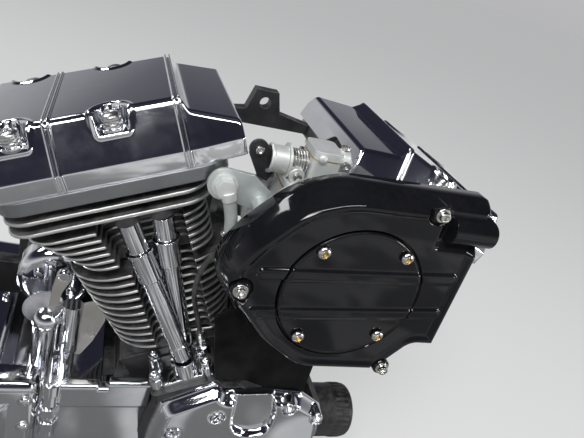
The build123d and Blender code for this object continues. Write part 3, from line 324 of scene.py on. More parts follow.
hose = route_curve("hose_rubber", HOSE_ROUTE, HOSE_R)
hose_rubber = rubber_paint("hose_rubber_paint", (0.205, 0.225, 0.218, 1), (0.300, 0.320, 0.310, 1), 0.50)
fit(hose, hose_rubber)
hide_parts("breather_hose")
tuple(CRANK + np.array(HOSE_ROUTE[0]) / 1000)
cable = route_curve("cable_sheath", CABLE_ROUTE, CABLE_R)
sheath_rubber = rubber_paint("cable_sheath_paint", (0.018, 0.018, 0.019, 1), (0.045, 0.045, 0.045, 1), 0.48)
fit(cable, sheath_rubber)
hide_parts("sender_cable")
tuple(CRANK + np.array(CABLE_ROUTE[0]) / 1000)

# Crankcase and other black castings
# Aluminium castings in satin black powder coat. The coat has a fine orange peel, is rubbed
# thin and paler on its corners, and dust lies on the faces that look up. The tappet guard is a black
# plate over the front tappet cover, in a paint darker and duller than the case black: painted shade under the
# air cleaner.
PALE_METAL = (0.60, 0.61, 0.61, 1)
DUST_TAN = (0.30, 0.295, 0.28, 1)


def edges_group():
    """Rounded edges and their wear: the normal over a small radius, and how far it turns."""
    group, given, result = node_group(
        "edges", ("Radius", "Wear"),
        (("Normal", "NodeSocketVector"), ("Mask", "NodeSocketFloat")))
    rounded = add_node(group, "ShaderNodeBevel", {"Radius": given.outputs[0]}, {"samples": 6})
    flat = add_node(group, "ShaderNodeNewGeometry").outputs["Normal"]
    turn = add_node(group, "ShaderNodeVectorMath", {0: rounded.outputs[0], 1: flat},
                    {"operation": "DOT_PRODUCT"})
    bend = mapped(group, turn.outputs["Value"], 0.0, 1.0, 0.995, 0.85)
    chips = mapped(group, noise(group, 220.0, 5.0, 0.7), 0.0, 1.0, 0.38, 0.62)
    mask = number(group, "MULTIPLY", bend, chips)
    group.links.new(rounded.outputs[0], result.inputs[0])
    group.links.new(number(group, "MULTIPLY", mask, given.outputs[1], True), result.inputs[1])
    return group


edges = edges_group()


def new_finish(name, fine, patches, radius, wear, dusty, dust_scale):
    """What a finish of metal starts from: a material with its grain, rounded corners and dust."""
    material, tree, shader = new_material(name)
    return SimpleNamespace(
        material=material, tree=tree, shader=shader, marks=use_group(tree, grain, fine, patches),
        corner=use_group(tree, edges, radius, wear), settled=use_group(tree, dust, dusty, dust_scale))


def end_finish(made, body, dust_color, gloss, dust_gloss, height, bump, distance=0.0002):
    """Lays dust on a finish's colour and gloss, and sets its bump over its rounded corners."""
    tree, shader, settled = made.tree, made.shader, made.settled.outputs[0]
    tree.links.new(blend_colors(tree, settled, body, dust_color), shader.inputs["Base Color"])
    dusty_gloss = number(tree, "ADD", gloss, number(tree, "MULTIPLY", settled, dust_gloss), True)
    tree.links.new(dusty_gloss, shader.inputs["Roughness"])
    add_bump(tree, shader, height, bump, distance, made.corner.outputs[0])
    return made.material


def coated_paint(name, color, rough, fine, bump, wear, dusty, specular=0.35):
    """Painted metal: one colour with patches, worn edges of pale metal, dust and a fine peel."""
    made = new_finish(name, fine, 30.0, 0.0009, wear, dusty, 85.0)
    tree, marks = made.tree, made.marks
    lighter = tuple(1.6 * value + 0.008 for value in color[:3]) + (1,)
    body = blend_colors(tree, marks.outputs[1], color, lighter)
    body = blend_colors(tree, made.corner.outputs[1], body, PALE_METAL)
    made.shader.inputs["Specular IOR Level"].default_value = specular
    gloss = mapped(tree, marks.outputs[1], rough - 0.05, rough + 0.09)
    return end_finish(made, body, DUST_TAN, gloss, 0.3, marks.outputs[0], bump, 0.0003)


def repaint(material, *names):
    """Gives CAD nodes their finished material."""
    for name in names:
        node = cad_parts[name]
        for index in range(len(node.data.materials)):
            node.data.materials[index] = material


case_black = coated_paint("case_black", (0.011, 0.011, 0.012, 1), 0.42, 900.0, 0.35, 0.30, 0.22)
repaint(case_black, "crankcase_right", "crankcase_left", "oil_filter", "front_mount", "primary_inner",
        "starter_motor", "top_mount")
# The tappet guard's paint is darker and duller than the case black: painted shade under the air cleaner.
guard_black_painted_shade = coated_paint("guard_black_painted_shade", (0.0012, 0.0013, 0.0014, 1), 0.42, 700.0, 0.25, 0.10, 0.02, 0.08)
repaint(guard_black_painted_shade, "tappet_guard")


def full_turn(count):
    """Evenly spaced angles round a circle."""
    return np.arange(count) * 2 * math.pi / count


def turned(profile, columns=36):
    """Rings of points from a profile of (radius, height, six-sided) turned about Z, in millimetres.
    A six-sided ring's radius is its width across flats halved over cos of the angle to the flat."""
    profile = np.array([(row + (0,))[:3] for row in profile], float)
    angle = full_turn(columns)
    flats = 1 / np.cos(np.mod(angle, math.pi / 3) - math.pi / 6)
    factor = 1 + profile[:, 2:3] * (flats - 1)
    radius = profile[:, 0:1] * factor
    height = np.broadcast_to(profile[:, 1:2], radius.shape)
    return np.stack((radius * np.cos(angle), radius * np.sin(angle), height), -1)


def stood(grid, places, axes):
    """Copies of a grid about Z, each stood at a place along an axis, from millimetres to metres."""
    places = np.atleast_2d(np.array(places, float))
    axes = np.broadcast_to(np.array(axes, float), places.shape)
    up = axes / np.linalg.norm(axes, axis=1, keepdims=True)
    helper = np.where(np.abs(up[:, 1:2]) < 0.9, (0.0, 1.0, 0.0), (1.0, 0.0, 0.0))
    first = np.cross(helper, up)
    first /= np.linalg.norm(first, axis=1, keepdims=True)
    frames = np.stack((first, np.cross(up, first), up), 1)
    return CRANK + (places[:, None, None, :] + np.einsum("rck,nkj->nrcj", grid, frames)) / 1000


def surface(name, grids, closed_rows=False, crease=32):
    """One mesh from grids of points shaped (copies, rows, columns, 3), which close round their
    columns. The first and last rows get a flat cap each, or join where closed_rows is set."""
    grids = grids[None] if grids.ndim == 3 else grids
    copies, rows, columns = grids.shape[:3]
    here = np.arange(columns)
    after = (here + 1) % columns
    row = np.arange(rows if closed_rows else rows - 1)[:, None]
    below, above = row * columns, (row + 1) % rows * columns
    quads = np.stack((below + here, below + after, above + after, above + here), -1).reshape(-1, 4)
    first = (np.arange(copies) * rows * columns)[:, None]
    faces = (first[:, :, None] + quads).reshape(-1, 4).tolist()
    if not closed_rows:
        faces += (first + here[::-1]).tolist() + (first + (rows - 1) * columns + here).tolist()
    mesh = bpy.data.meshes.new(name)
    mesh.from_pydata(grids.reshape(-1, 3).tolist(), [], faces)
    shell = bmesh.new()
    shell.from_mesh(mesh)
    bmesh.ops.recalc_face_normals(shell, faces=shell.faces)
    shell.to_mesh(mesh)
    shell.free()
    mesh.polygons.foreach_set("use_smooth", np.ones(len(mesh.polygons), bool))
    mesh.set_sharp_from_angle(angle=math.radians(crease))
    return add_object(name, mesh)


def place_turned(name, rings, places, axes, material, crease=32):
    """One piece made of equal turned forms, each stood at its place, with its finish."""
    return fit(surface(name, stood(rings, places, axes), False, crease), material)


def cap_screw(radius, height):
    """Rings of a socket cap screw's head: a chamfered cylinder with a six-sided socket."""
    socket = 0.52 * radius
    return turned((
        (radius, 0), (radius, height - 0.7), (radius - 0.25, height - 0.2), (radius - 0.8, height),
        (socket + 0.5, height), (socket, height - 0.35, 1), (socket, 0.4 * height, 1)))


def button_screw(radius, height):
    """Rings of a domed button head with a six-sided socket: the dome is a quarter of an ellipse."""
    bend = np.linspace(0, 1.05, 7)
    dome = [(radius * math.cos(turn), (0.15 + 0.85 * math.sin(turn)) * height) for turn in bend]
    socket = 0.44 * radius
    hole = [(socket + 0.3, 0.97 * height), (socket, 0.9 * height, 1), (socket, 0.35 * height, 1)]
    return turned([(radius * 0.97, 0)] + dome + hole)


def hex_bolt(flats, height, collar):
    """Rings of a flanged hexagon head: a round collar, six flats and a chamfered crown."""
    return turned((
        (collar, 0), (collar, 1.2), (collar - 0.5, 1.7), (flats, 1.9, 1), (flats, height - 0.9, 1),
        (flats * 0.98, height - 0.3), (flats * 0.9, height)))


def domed_cap(radius, height):
    """Rings of a plain domed cap: a short wall and a quarter of an ellipse above it."""
    bend = np.linspace(0, 1.5, 9)
    dome = [(radius * math.cos(turn), (0.35 + 0.65 * math.sin(turn)) * height) for turn in bend]
    return turned([(radius, 0)] + dome)


# Cylinders and heads
# Cast iron barrels and aluminium heads in satin black. The rim of every fin is machined
# bright after painting, so each one is a pale line along a dark casting.
BANK_TILT = math.radians(22.5)
HANDS = {"rear": 1.0, "front": -1.0}
RIM_OUT = 0.55
RIM_IN = 0.9
RIM_LIFT = 0.12


def bank(f, a, y, hand):
    """Place in millimetres from the crankshaft of a point on one cylinder bank: f along the head
    towards the V, a up the bore, y to the left. The front bank is the rear bank's mirror image."""
    x = f * math.cos(BANK_TILT) - a * math.sin(BANK_TILT)
    z = f * math.sin(BANK_TILT) + a * math.cos(BANK_TILT)
    return np.stack(np.broadcast_arrays(hand * x, y, z), -1)


def heading(angle):
    """Directions of unit length at angles, as pairs."""
    return np.stack((np.cos(angle), np.sin(angle)), -1)


def arc(center, radius, start, turn, count=10):
    """Points along a circle from an angle, over a turn, in degrees."""
    return np.array(center) + radius * heading(np.radians(start + np.linspace(0, turn, count)))


def evenly(points, step):
    """A closed line's points spaced evenly along it, close to a step apart."""
    points = np.asarray(points, float)
    points = points[np.concatenate(([True], np.linalg.norm(np.diff(points, axis=0), axis=1) > 1e-6))]
    loop = np.vstack((points, points[:1]))
    run = np.concatenate(([0], np.cumsum(np.linalg.norm(np.diff(loop, axis=0), axis=1))))
    at = np.linspace(0, run[-1], max(int(run[-1] / step), 12), endpoint=False)
    return np.stack((np.interp(at, run, loop[:, 0]), np.interp(at, run, loop[:, 1])), -1)


def fin_line(back, vee, half_y, corner, recess_back):
    """Outline of a fin across the bore: a rounded rectangle, less the tubes' recess on the right."""
    corner = min(corner, half_y, (back + vee) / 2)
    line = np.vstack((arc((vee - corner, corner - half_y), corner, -90, 90, 24),
                      arc((vee - corner, half_y - corner), corner, 0, 90, 24),
                      arc((corner - back, half_y - corner), corner, 90, 90, 24),
                      arc((corner - back, corner - half_y), corner, 180, 90, 24)))
    if not recess_back:
        return evenly(line, 2.6)
    line = evenly(line, 0.5)
    middle = np.argmin(np.abs(line[:, 0] - 11) + np.where(line[:, 1] < 0, 0, 1000))
    line = np.roll(line, -middle, axis=0)
    kept = line[(line[:, 0] < -recess_back) | (line[:, 0] > RECESS_VEE) | (line[:, 1] > RECESS_Y)]
    tail = arc((9 - recess_back, RECESS_Y - 9), 9, 180, -90, 8)
    head = arc((RECESS_VEE - 9, RECESS_Y - 9), 9, 90, -90, 8)
    inner = np.vstack((tail, head)) if kept[0][0] > RECESS_VEE - 1 and kept[0][1] < RECESS_Y - 10 else tail
    return evenly(np.vstack((kept, inner)), 2.2)


def moved_out(line, offsets):
    """A closed line moved out along its own normals, once by each offset."""
    ahead = np.roll(line, -1, axis=0) - np.roll(line, 1, axis=0)
    normal = np.stack((ahead[:, 1], -ahead[:, 0]), -1)
    normal /= np.linalg.norm(normal, axis=1, keepdims=True)
    return line + offsets[:, None, None] * normal


def rim_grid(line, height, thick, hand):
    """A bright rim round one fin: its outline moved along its own normals by a low crowned profile
    that covers the fin's edge, with the inner side of the loop sunk in the casting."""
    section = np.array((
        (-RIM_IN, -RIM_LIFT), (0.0, -RIM_LIFT), (0.7 * RIM_OUT, 0.2), (RIM_OUT, thick / 2),
        (0.7 * RIM_OUT, thick - 0.2), (0.0, thick + RIM_LIFT), (-RIM_IN, thick + RIM_LIFT),
        (-RIM_IN, thick / 2)))
    moved = moved_out(line, section[:, 0])
    return CRANK + bank(moved[..., 0], height + section[:, None, 1], moved[..., 1], hand) / 1000


RECESS_VEE = 42.0
RECESS_Y = -54.5


def barrel_fins(hand):
    """Rims of the eleven barrel fins, which widen as they go up the bore."""
    for count in range(11):
        height = 165 + 10.4 * count
        share = count / 10
        back = 66 + 18 * share
        vee = min(back, height * math.tan(BANK_TILT) - 2)
        yield rim_grid(fin_line(back, vee, 72 + 6 * share, 52, 20), height, 2.6, hand)


def head_fins(hand):
    """Rims of the six short head fins and of the two long ones over the pushrod tubes."""
    for count in range(6):
        share = count / 5
        yield rim_grid(fin_line(66 + 36 * share, 66, 88, 30, 28 + 10 * share), 290 + 8 * count, 2.6, hand)
    for height in (345.5, 357.5):
        yield rim_grid(fin_line(111, 72, 95, 24, 0), height, 3.2, hand)


def joined(name, grids):
    """One surface from several closed rims that have different numbers of columns."""
    parts = [surface(name, grid, True, 50) for grid in grids]
    merged = bmesh.new()
    for part in parts:
        merged.from_mesh(part.data)
    mesh = bpy.data.meshes.new(name)
    merged.to_mesh(mesh)
    merged.free()
    for part in parts:
        bpy.data.meshes.remove(part.data)
    mesh.set_sharp_from_angle(angle=math.radians(50))
    return add_object(name, mesh)


def metal_paint(name, color, rough, fine, bump, worn, stretch=(1, 1, 1), radius=0.0006, dusty=0.15,
                metallic=1.0):
    """Bare metal: streaks or grain along a direction, stains in patches, bright corners and dust."""
    made = new_finish(name, fine, 34.0, radius, 1.0, dusty, 90.0)
    tree, patches = made.tree, made.marks.outputs[1]
    made.shader.inputs["Metallic"].default_value = metallic
    place = add_node(tree, "ShaderNodeMapping", {
        "Vector": add_node(tree, "ShaderNodeTexCoord").outputs["Object"], "Scale": stretch})
    streak = noise(tree, fine, 3.0, 0.6, place.outputs[0])
    darker = tuple(value * worn for value in color[:3]) + (1,)
    brighter = tuple(min(1, 1.15 * value) for value in color[:3]) + (1,)
    body = blend_colors(tree, patches, color, darker)
    body = blend_colors(tree, made.corner.outputs[1], body, brighter)
    gloss = number(tree, "ADD", mapped(tree, patches, rough, rough + 0.10), mapped(tree, streak, -0.04, 0.05))
    return end_finish(made, body, DUST_TAN, gloss, 0.35, streak, bump)


fin_black = coated_paint("fin_black", (0.026, 0.026, 0.028, 1), 0.44, 1300.0, 0.5, 0.15, 0.5)
rim_bright = metal_paint("rim_bright", (0.80, 0.80, 0.78, 1), 0.30, 1800.0, 0.3, 0.80, (1, 0.15, 1))
for end, hand in HANDS.items():
    repaint(fin_black, f"cylinder_{end}", f"head_{end}")
    fit(joined(f"barrel_fin_rims_{end}", barrel_fins(hand)), rim_bright)
    fit(joined(f"head_fin_rims_{end}", head_fins(hand)), rim_bright)

# Rocker housings and covers
# The housing is a satin alloy band. The cover over it is a chromed casting with double ribs,
# held by domed screws that stand in notches in its upper edge.
CHROME = (0.80, 0.81, 0.83, 1)
NOTCH_FLOOR = 423.0
NOTCH_R = 14.5
NOTCH_HALF = 11
NOTCH_IN, NOTCH_OUT, NOTCH_SIDE = 71, 99, 66
BEAD_OUT, BEAD_HALF = 2.2, 3.4
BEAD_UP, BEAD_UP_HALF = 1.6, 3.6
COVER_JOINT, COVER_CREASE, COVER_TOP = 381.0, 397.0, 438.0
COVER_SIDE = 93.0
COVER_LEAN = 0.56
COVER_BACK = -113.0
COVER_END_R = 3.5
COVER_LIP_R = 7.5
COVER_PLACES = {
    # bank: start of the nose, its end, the double ribs and the bolts, along the head towards the V
    "rear": (62.0, 111.0, (-51.0, 59.0), (-81.0, 2.0)),
    "front": (46.0, 96.0, (-62.0, 43.0), (-92.0, -12.0)),
}


def chrome_paint(name, radius, rough=0.035, painted_reflection_noise=0.07):
    """Chrome plate: mirror bright, with faint wiping marks, water spots and soft corners."""
    made = new_finish(name, 420.0, 26.0, radius, 0.4, 0.05, 260.0)
    made.shader.inputs["Metallic"].default_value = 1.0
    patches = made.marks.outputs[1]
    body = blend_colors(made.tree, patches, CHROME, (0.74, 0.75, 0.78, 1))
    gloss = mapped(made.tree, patches, rough, rough + painted_reflection_noise)
    return end_finish(made, body, (0.40, 0.39, 0.37, 1), gloss, 0.5, made.marks.outputs[0], 0.04)


chrome = chrome_paint("chrome_plate", 0.0032)
chrome_small = chrome_paint("chrome_small", 0.0010)
steel = metal_paint("turned_steel", (0.56, 0.56, 0.56, 1), 0.22, 2200.0, 0.3, 0.82, (1, 1, 8))
satin_alloy = metal_paint(
    "satin_alloy_paint", (0.33, 0.34, 0.35, 1), 0.33, 1500.0, 0.35, 0.80, (0.12, 1, 1), 0.0014)


def smooth(value):
    """0 below 0, 1 above 1 and an S-shaped rise between them."""
    value = np.clip(value, 0, 1)
    return value * value * (3 - 2 * value)


def softly_lower(first, second, width):
    """The lower of two heights, with the crease between them rounded over a width."""
    share = np.clip(0.5 + 0.5 * (second - first) / width, 0, 1)
    return second * (1 - share) + first * share - width * share * (1 - share)


def swell(value, half):
    """A smooth bell: 1 at 0, falling to 0 at half to either side."""
    return np.clip(1 - (value / half) ** 2, 0, 1) ** 2


def bent_corner(corner_y, corner_a, radius, before, after, count):
    """An arc that rounds one corner of every section: it starts the radius times the tangent of
    half the turn before the corner, and its heading falls evenly from before to after."""
    reach = radius * math.tan((before - after) / 2)
    angle = before + (after - before) * np.linspace(0, 1, count)
    y = corner_y - reach * math.cos(before) + radius * (math.sin(before) - np.sin(angle))
    a = corner_a + 0 * corner_y - reach * math.sin(before) + radius * (np.cos(angle) - math.cos(before))
    return y, a


def cover_sections(f, start, end, bands):
    """Sections of a rocker cover at each f, as y and a: upright, leaning in above the crease, a
    rounded upper corner and a flat top, then the same mirrored. Ribs and the ends' rounding make
    a section larger or smaller all round, and the nose makes it lower and narrower."""
    f = f[:, None]
    grow = np.zeros(f.shape)
    for band in bands:
        for middle in (band - 2.1, band + 2.1):
            grow = np.maximum(grow, 1.6 * smooth((1.7 - np.abs(f - middle)) / 1.1))
        grow = grow - 0.9 * smooth((1.5 - np.abs(f - band)) / 1.0)
    for limit in (COVER_BACK, end):
        past = np.clip(1 - np.abs(f - limit) / COVER_END_R, 0, 1)
        grow = grow - COVER_END_R * (1 - np.sqrt(1 - past ** 2))
    along = (f - start) / (end - start)
    drop = 9 * smooth((f - start + 1) / 7) + 18 * np.clip(along, 0, 1)
    side = COVER_SIDE + grow - 4 * smooth(along)
    top = COVER_TOP + grow - drop
    lean = math.atan2(1, COVER_LEAN)
    shoulder = side - (top - COVER_CREASE) * COVER_LEAN
    low_y, low_a = bent_corner(-side, COVER_CREASE, 3.0, math.pi / 2, lean, 5)
    high_y, high_a = bent_corner(-shoulder, top, COVER_LIP_R, lean, 0, 14)
    climb = np.linspace(0, 1, 36)[1:-1]
    inner = np.linspace(0, 1, 34)[1:] ** 1.5
    climb_y = low_y[:, -1:] + climb * (high_y[:, :1] - low_y[:, -1:])
    climb_a = low_a[:, -1:] + climb * (high_a[:, :1] - low_a[:, -1:])
    y = np.hstack((-side, low_y, climb_y, high_y, high_y[:, -1:] * (1 - inner)))
    a = np.hstack((np.full(f.shape, COVER_JOINT), low_a, climb_a, high_a, high_a[:, -1:] + 0 * inner))
    return np.hstack((y, -y[:, -2::-1])), np.hstack((a, a[:, -2::-1]))


def cover_shell(name, start, end, bands, bolts, hand):
    """A rocker cover: its sections along f, pressed down softly to the notches' floors. A rounded
    bead runs round each notch, down the side of the cover and along the upper edge."""
    f = [np.arange(COVER_BACK, end, 1.5), [end]]
    f += [np.linspace(band - 4.6, band + 4.6, 28) for band in bands]
    f += [np.linspace(bolt - 22, bolt + 22, 56) for bolt in bolts]
    round_end = COVER_END_R * (1 - np.cos(np.linspace(0, 1.5, 6)))
    f = np.concatenate(f + [COVER_BACK + round_end, end - round_end])
    f = np.unique(np.round(f[(f >= COVER_BACK) & (f <= end)], 2))
    y, a = cover_sections(f, start, end, bands)
    f = np.broadcast_to(f[:, None], y.shape)
    for bolt in bolts:
        beyond = np.clip(np.abs(f - bolt) - NOTCH_HALF, 0, None)
        rim = np.where(a < NOTCH_FLOOR, np.hypot(beyond, NOTCH_FLOOR - a), beyond)
        y = y + np.sign(y) * BEAD_OUT * swell(rim - BEAD_HALF, BEAD_HALF) * (np.abs(y) > NOTCH_SIDE)
        away = np.hypot(f - bolt, np.abs(y) - np.clip(np.abs(y), NOTCH_IN, NOTCH_OUT))
        bead = BEAD_UP * swell(away - NOTCH_R - 3.0, BEAD_UP_HALF) * smooth((a - NOTCH_FLOOR) / 9)
        pressed = softly_lower(a + bead, NOTCH_FLOOR + 26 * smooth((away - NOTCH_R + 2.4) / 4.6), 3.0)
        a = np.where(a > COVER_JOINT + 4, pressed, a)
    grid = CRANK + bank(f, a, y, hand) / 1000
    return surface(name, grid, False, 40)


CAP_LINE = [(8.4, 0)] + [(8.4 - 0.6 * (step % 2), 2.2 + 1.5 * step) for step in range(6)]
CAP_LINE += [(8.4 * math.cos(turn), 10.4 + 3.2 * math.sin(turn)) for turn in np.linspace(0, 1.5, 8)]
cover_caps = []
for end, hand in HANDS.items():
    cover = cover_shell(f"rocker_cover_shell_{end}", *COVER_PLACES[end], hand)
    fit(cover, chrome_small)
    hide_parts(f"rocker_cover_{end}")
    repaint(satin_alloy, f"rocker_housing_{end}")
    up = bank(0, 1, 0, hand)
    places = [bank(f, NOTCH_FLOOR, y, hand) for f in COVER_PLACES[end][3] for y in (72, -72)]
    cover_caps.append(stood(turned(CAP_LINE), places, up))
    cover_washer = turned(((11, -1), (11, 1.2), (10.4, 1.8), (7, 1.8)))
    place_turned(f"cover_washers_{end}", cover_washer, places, up, chrome_small)
fit(surface("cover_caps", np.concatenate(cover_caps)), steel)

# Pushrod tubes and tappet covers
# Chromed steel tubes that telescope under a spring cap, on chromed cast covers. Each cover
# is held by four socket screws on tall posts, and the oil sender stands on one post.
TAPPET_POST_TOP = 144.0
screw_grids = []
for end, hand in HANDS.items():
    repaint(chrome_small, f"pushrod_tube_exhaust_{end}", f"pushrod_tube_intake_{end}",
            f"tappet_cover_{end}")
    posts = [(f, y) for f in (28, -28) for y in (-64, -95) if end == "front" or (f, y) != (28, -64)]
    places = [bank(f, TAPPET_POST_TOP, y, hand) for f, y in posts]
    screw_grids.append(stood(cap_screw(5.6, 6), places, bank(0, 1, 0, hand)))
fit(surface("tappet_screws", np.concatenate(screw_grids)), chrome_small)
repaint(steel, "sender")

# Cam cover and timer cover
# A polished and chromed cover over the cam gears, whose body rises from a low flange, with a
# sunken panel open at its top and eight socket screws in bored bosses. The round timer cover
# has its own two screws.
OUTWARD = (0, -1, 0)
CHEST_Y = 106.0
CAM_LINE = (
    # x, z from the crankshaft and the corner's radius
    (-78.4, 62, 5), (-72.4, 99.6, 5), (-16, 131.2, 6), (-6, 120.4, 6), (45, 123.4, 5),
    (87.8, 118.4, 5), (119.4, 97.6, 6), (130.4, 50, 6), (108.4, -35.6, 6), (68.8, -71.4, 6),
    (-7, -73.4, 6), (-56.4, -35.6, 6), (-82.4, 14, 6))
CAM_PANEL = ((8, 70, 20), (3, 140, 3), (49, 140, 3), (60, 99, 14), (60, 66, 26), (34, 58, 30))
CAM_POCKET = ((64, 104, 3), (60, 116, 3), (84, 112, 3), (88, 104, 3))
CAM_FACE = 122.5
CAM_FLANGE = 110.0
CAM_SEAT = 118.0
CAM_LEDGE = 7.5
CAM_SLOPE = 13.0
CAM_CROWN, CAM_CROWN_R = 3.0, 110
PANEL_DEPTH, PANEL_WALL = 6.5, 5.0
POCKET_DEPTH, POCKET_WALL = 5, 3.0
CAM_BOSS, CAM_BOSS_R, CAM_BORE_R = 15, 13, 7.4
CAM_LIP = 2.2
CAM_SCREWS = ((-55, 67), (-9, 92), (73, 106), (114, 90), (109, 6), (67, -54), (-9, -54), (-59, 4))
TIMER = np.array((32.0, 18.0))
TIMER_R = 37.0
TIMER_SEAT = 128.0


def rounded_line(corners, step):
    """A closed polygon with each corner replaced by an arc of its radius, spaced evenly.
    The tangent points lie radius over the tangent of half the corner's angle from it."""
    points = []
    count = len(corners)
    for index, (x, z, radius) in enumerate(corners):
        here = np.array((x, z), float)
        back = np.array(corners[index - 1][:2], float) - here
        ahead = np.array(corners[(index + 1) % count][:2], float) - here
        back_run, ahead_run = np.linalg.norm(back), np.linalg.norm(ahead)
        back, ahead = back / back_run, ahead / ahead_run
        half = math.acos(np.clip(back @ ahead, -1, 1)) / 2
        reach = min(radius / math.tan(half), 0.49 * back_run, 0.49 * ahead_run)
        radius = reach * math.tan(half)
        bisector = (back + ahead) / np.linalg.norm(back + ahead)
        center = here + bisector * radius / math.sin(half)
        start = here + back * reach - center
        end = here + ahead * reach - center
        turn = math.atan2(start[0] * end[1] - start[1] * end[0], start @ end)
        first = math.atan2(start[1], start[0])
        points.append(center + radius * heading(first + np.linspace(0, turn, 12)))
    return evenly(np.vstack(points), step)


def depth_inside(points, line):
    """Distance of each point from a closed line: the least over the line's runs."""
    start, run = line, np.roll(line, -1, axis=0) - line
    flat = points.reshape(-1, 2)
    away = flat[:, None] - start[None]
    share = np.clip((away * run).sum(-1) / (run * run).sum(-1), 0, 1)
    return np.sqrt(((away - share[..., None] * run) ** 2).sum(-1).min(1)).reshape(points.shape[:-1])


def inside(points, line):
    """Whether each point is inside a closed line: a level ray from it crosses the line an odd
    number of times."""
    flat = points.reshape(-1, 2)
    x0, z0 = line.T
    x1, z1 = np.roll(line, -1, axis=0).T
    spans = (z0 > flat[:, 1:]) != (z1 > flat[:, 1:])
    run = np.where(z1 == z0, 1.0, z1 - z0)
    left = flat[:, :1] < (x1 - x0) * (flat[:, 1:] - z0) / run + x0
    return ((spans & left).sum(1) % 2 == 1).reshape(points.shape[:-1])


def sunk(points, line, wall):
    """0 outside a closed line and 1 well inside it, with an S-shaped wall just inside the line."""
    return np.where(inside(points, line), smooth(depth_inside(points, line) / wall), 0)


def engine_grid(points, depth):
    """Points of x, z and depth to the right of the crankshaft's plane, from millimetres to metres."""
    return CRANK + np.stack((points[..., 0], -depth, points[..., 1]), -1) / 1000


def level_ring(line, depth):
    """A ring of points over a line, all at one depth."""
    return engine_grid(line, np.full(len(line), depth))


def runs_inward(reach, dense, steps):
    """How far each row lies from an outline: even steps over a dense band, then over the rest."""
    rest = np.linspace(0, 1, steps[1])[1:, None] * (reach - dense)
    return np.concatenate((np.linspace(0, 1, steps[0])[:, None] * dense, dense + rest))


def cast_shell(name, line, middle, hole, back, dense, steps, depth_of):
    """A closed casting whose face is depth_of over its outline. The rows run from the outline
    towards a middle point, dense at first and then evenly, as far as a round hole."""
    bearing = (line - middle) / np.linalg.norm(line - middle, axis=1, keepdims=True)
    inner = middle + hole * bearing
    reach = np.linalg.norm(line - inner, axis=1)
    field = line - runs_inward(reach, np.minimum(dense, 0.6 * reach), steps)[..., None] * bearing
    rows = [level_ring(line - 4 * bearing, back), level_ring(line, back)]
    rows += [*engine_grid(field, depth_of(field)), level_ring(inner, back)]
    return surface(name, np.array(rows), True, 50)


def at_depth(places, depth):
    """Places of x and z set at a depth to the right of the crankshaft's plane."""
    return [(x, -depth, z) for x, z in places]


def round_places(center, radius, depth, angles):
    """Places at angles on a circle of x and z, at a depth to the right of the crankshaft's plane."""
    return at_depth(np.array(center) + radius * heading(np.array(angles)), depth)


cam_line = rounded_line(CAM_LINE, 1.5)
cam_panel = rounded_line(CAM_PANEL, 1.5)
cam_pocket = rounded_line(CAM_POCKET, 1.5)
body_corners = []
for x, z, _ in CAM_LINE:
    corner = np.array((x, z))
    body_corners.append((*(TIMER + (corner - TIMER) * (1 - CAM_LEDGE / math.dist(corner, TIMER))), 20))
cam_body = rounded_line(body_corners, 1.5)


def cam_face(points):
    """The flange, the body's slope, the sunken panel and pocket, and the bored screw bosses."""
    edge = depth_inside(points, cam_line)
    within = depth_inside(points, cam_body) * np.where(inside(points, cam_body), 1, -1)
    crown = CAM_CROWN * (1 - (np.linalg.norm(points - TIMER, axis=-1) / CAM_CROWN_R) ** 2)
    body = CAM_FLANGE + (CAM_FACE + crown - CAM_FLANGE) * smooth(within / CAM_SLOPE + 0.5)
    panel = sunk(points, cam_panel, PANEL_WALL)
    depth = body * (1 - panel) + (CAM_FACE - PANEL_DEPTH) * panel
    depth = depth - POCKET_DEPTH * sunk(points, cam_pocket, POCKET_WALL)
    for place in CAM_SCREWS:
        away = np.linalg.norm(points - np.array(place), axis=-1)
        depth = np.maximum(depth, CAM_FLANGE + CAM_BOSS * smooth((CAM_BOSS_R - away) / 4.2))
        depth = np.minimum(depth, CAM_SEAT + 30 * smooth((away - CAM_BORE_R) / 2.4))
    lip = CAM_FLANGE + 0.2 * edge - CAM_LIP * np.clip(1 - edge / CAM_LIP, 0, 1) ** 2
    return np.where(edge < 1.0, np.minimum(depth, lip), depth)


cam_shell = cast_shell("cam_cover_shell", cam_line, TIMER, TIMER_R, CHEST_Y, 18, (26, 40), cam_face)
fit(cam_shell, chrome_small)
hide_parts("cam_cover")
repaint(chrome_small, "timer_cover")
place_turned("cam_cover_screws", cap_screw(6.6, 6.0), at_depth(CAM_SCREWS, CAM_SEAT), OUTWARD,
             chrome_small)
timer_places = round_places(TIMER, TIMER_R - 3.5, TIMER_SEAT, (0.6, 0.6 + math.pi))
place_turned("timer_screws", button_screw(3.6, 2.6), timer_places, OUTWARD, steel)

# Air cleaner
# A die-cast cover in deep gloss black over a satin alloy backplate. A ridge runs round its
# back and top, two raised bars cross it and the round insert, and a half-round horn ends it.
CLEANER_LINE = (
    # x, z from the crankshaft and the corner's radius
    (-60, 298, 99), (-60, 322, 99), (-44, 350, 99), (-8, 392, 99), (34, 408, 99), (188, 411, 9),
    (188, 241, 9), (157, 241, 9), (128, 204, 9), (36, 204, 60), (-10, 236, 99), (-48, 281, 99))
INSERT = np.array((66.0, 301.0))
INSERT_R = 70.0
GROOVE = 1.8
RIM_Y = 125.0
WALL_Y = 140.0
FACE_Y = 168.0
POCKET = 4.8
GROOVE_Y = FACE_Y - POCKET - 6
EDGE_BAND = 14
WALL_SLOPE, SHOULDER_SOFT = 3.5, 24
RIDGE_WIDTH, RIDGE_FALL = 10, 11
STEP_X, STEP_Z, STEP_DOWN = 129, 359, 12
SINK_Y, SINK_R = 160.5, 9.5
HORN_X, HORN_Y, HORN_Z, HORN_R = 137, 158, 382, 13.0
BAR_TILT = math.radians(4)
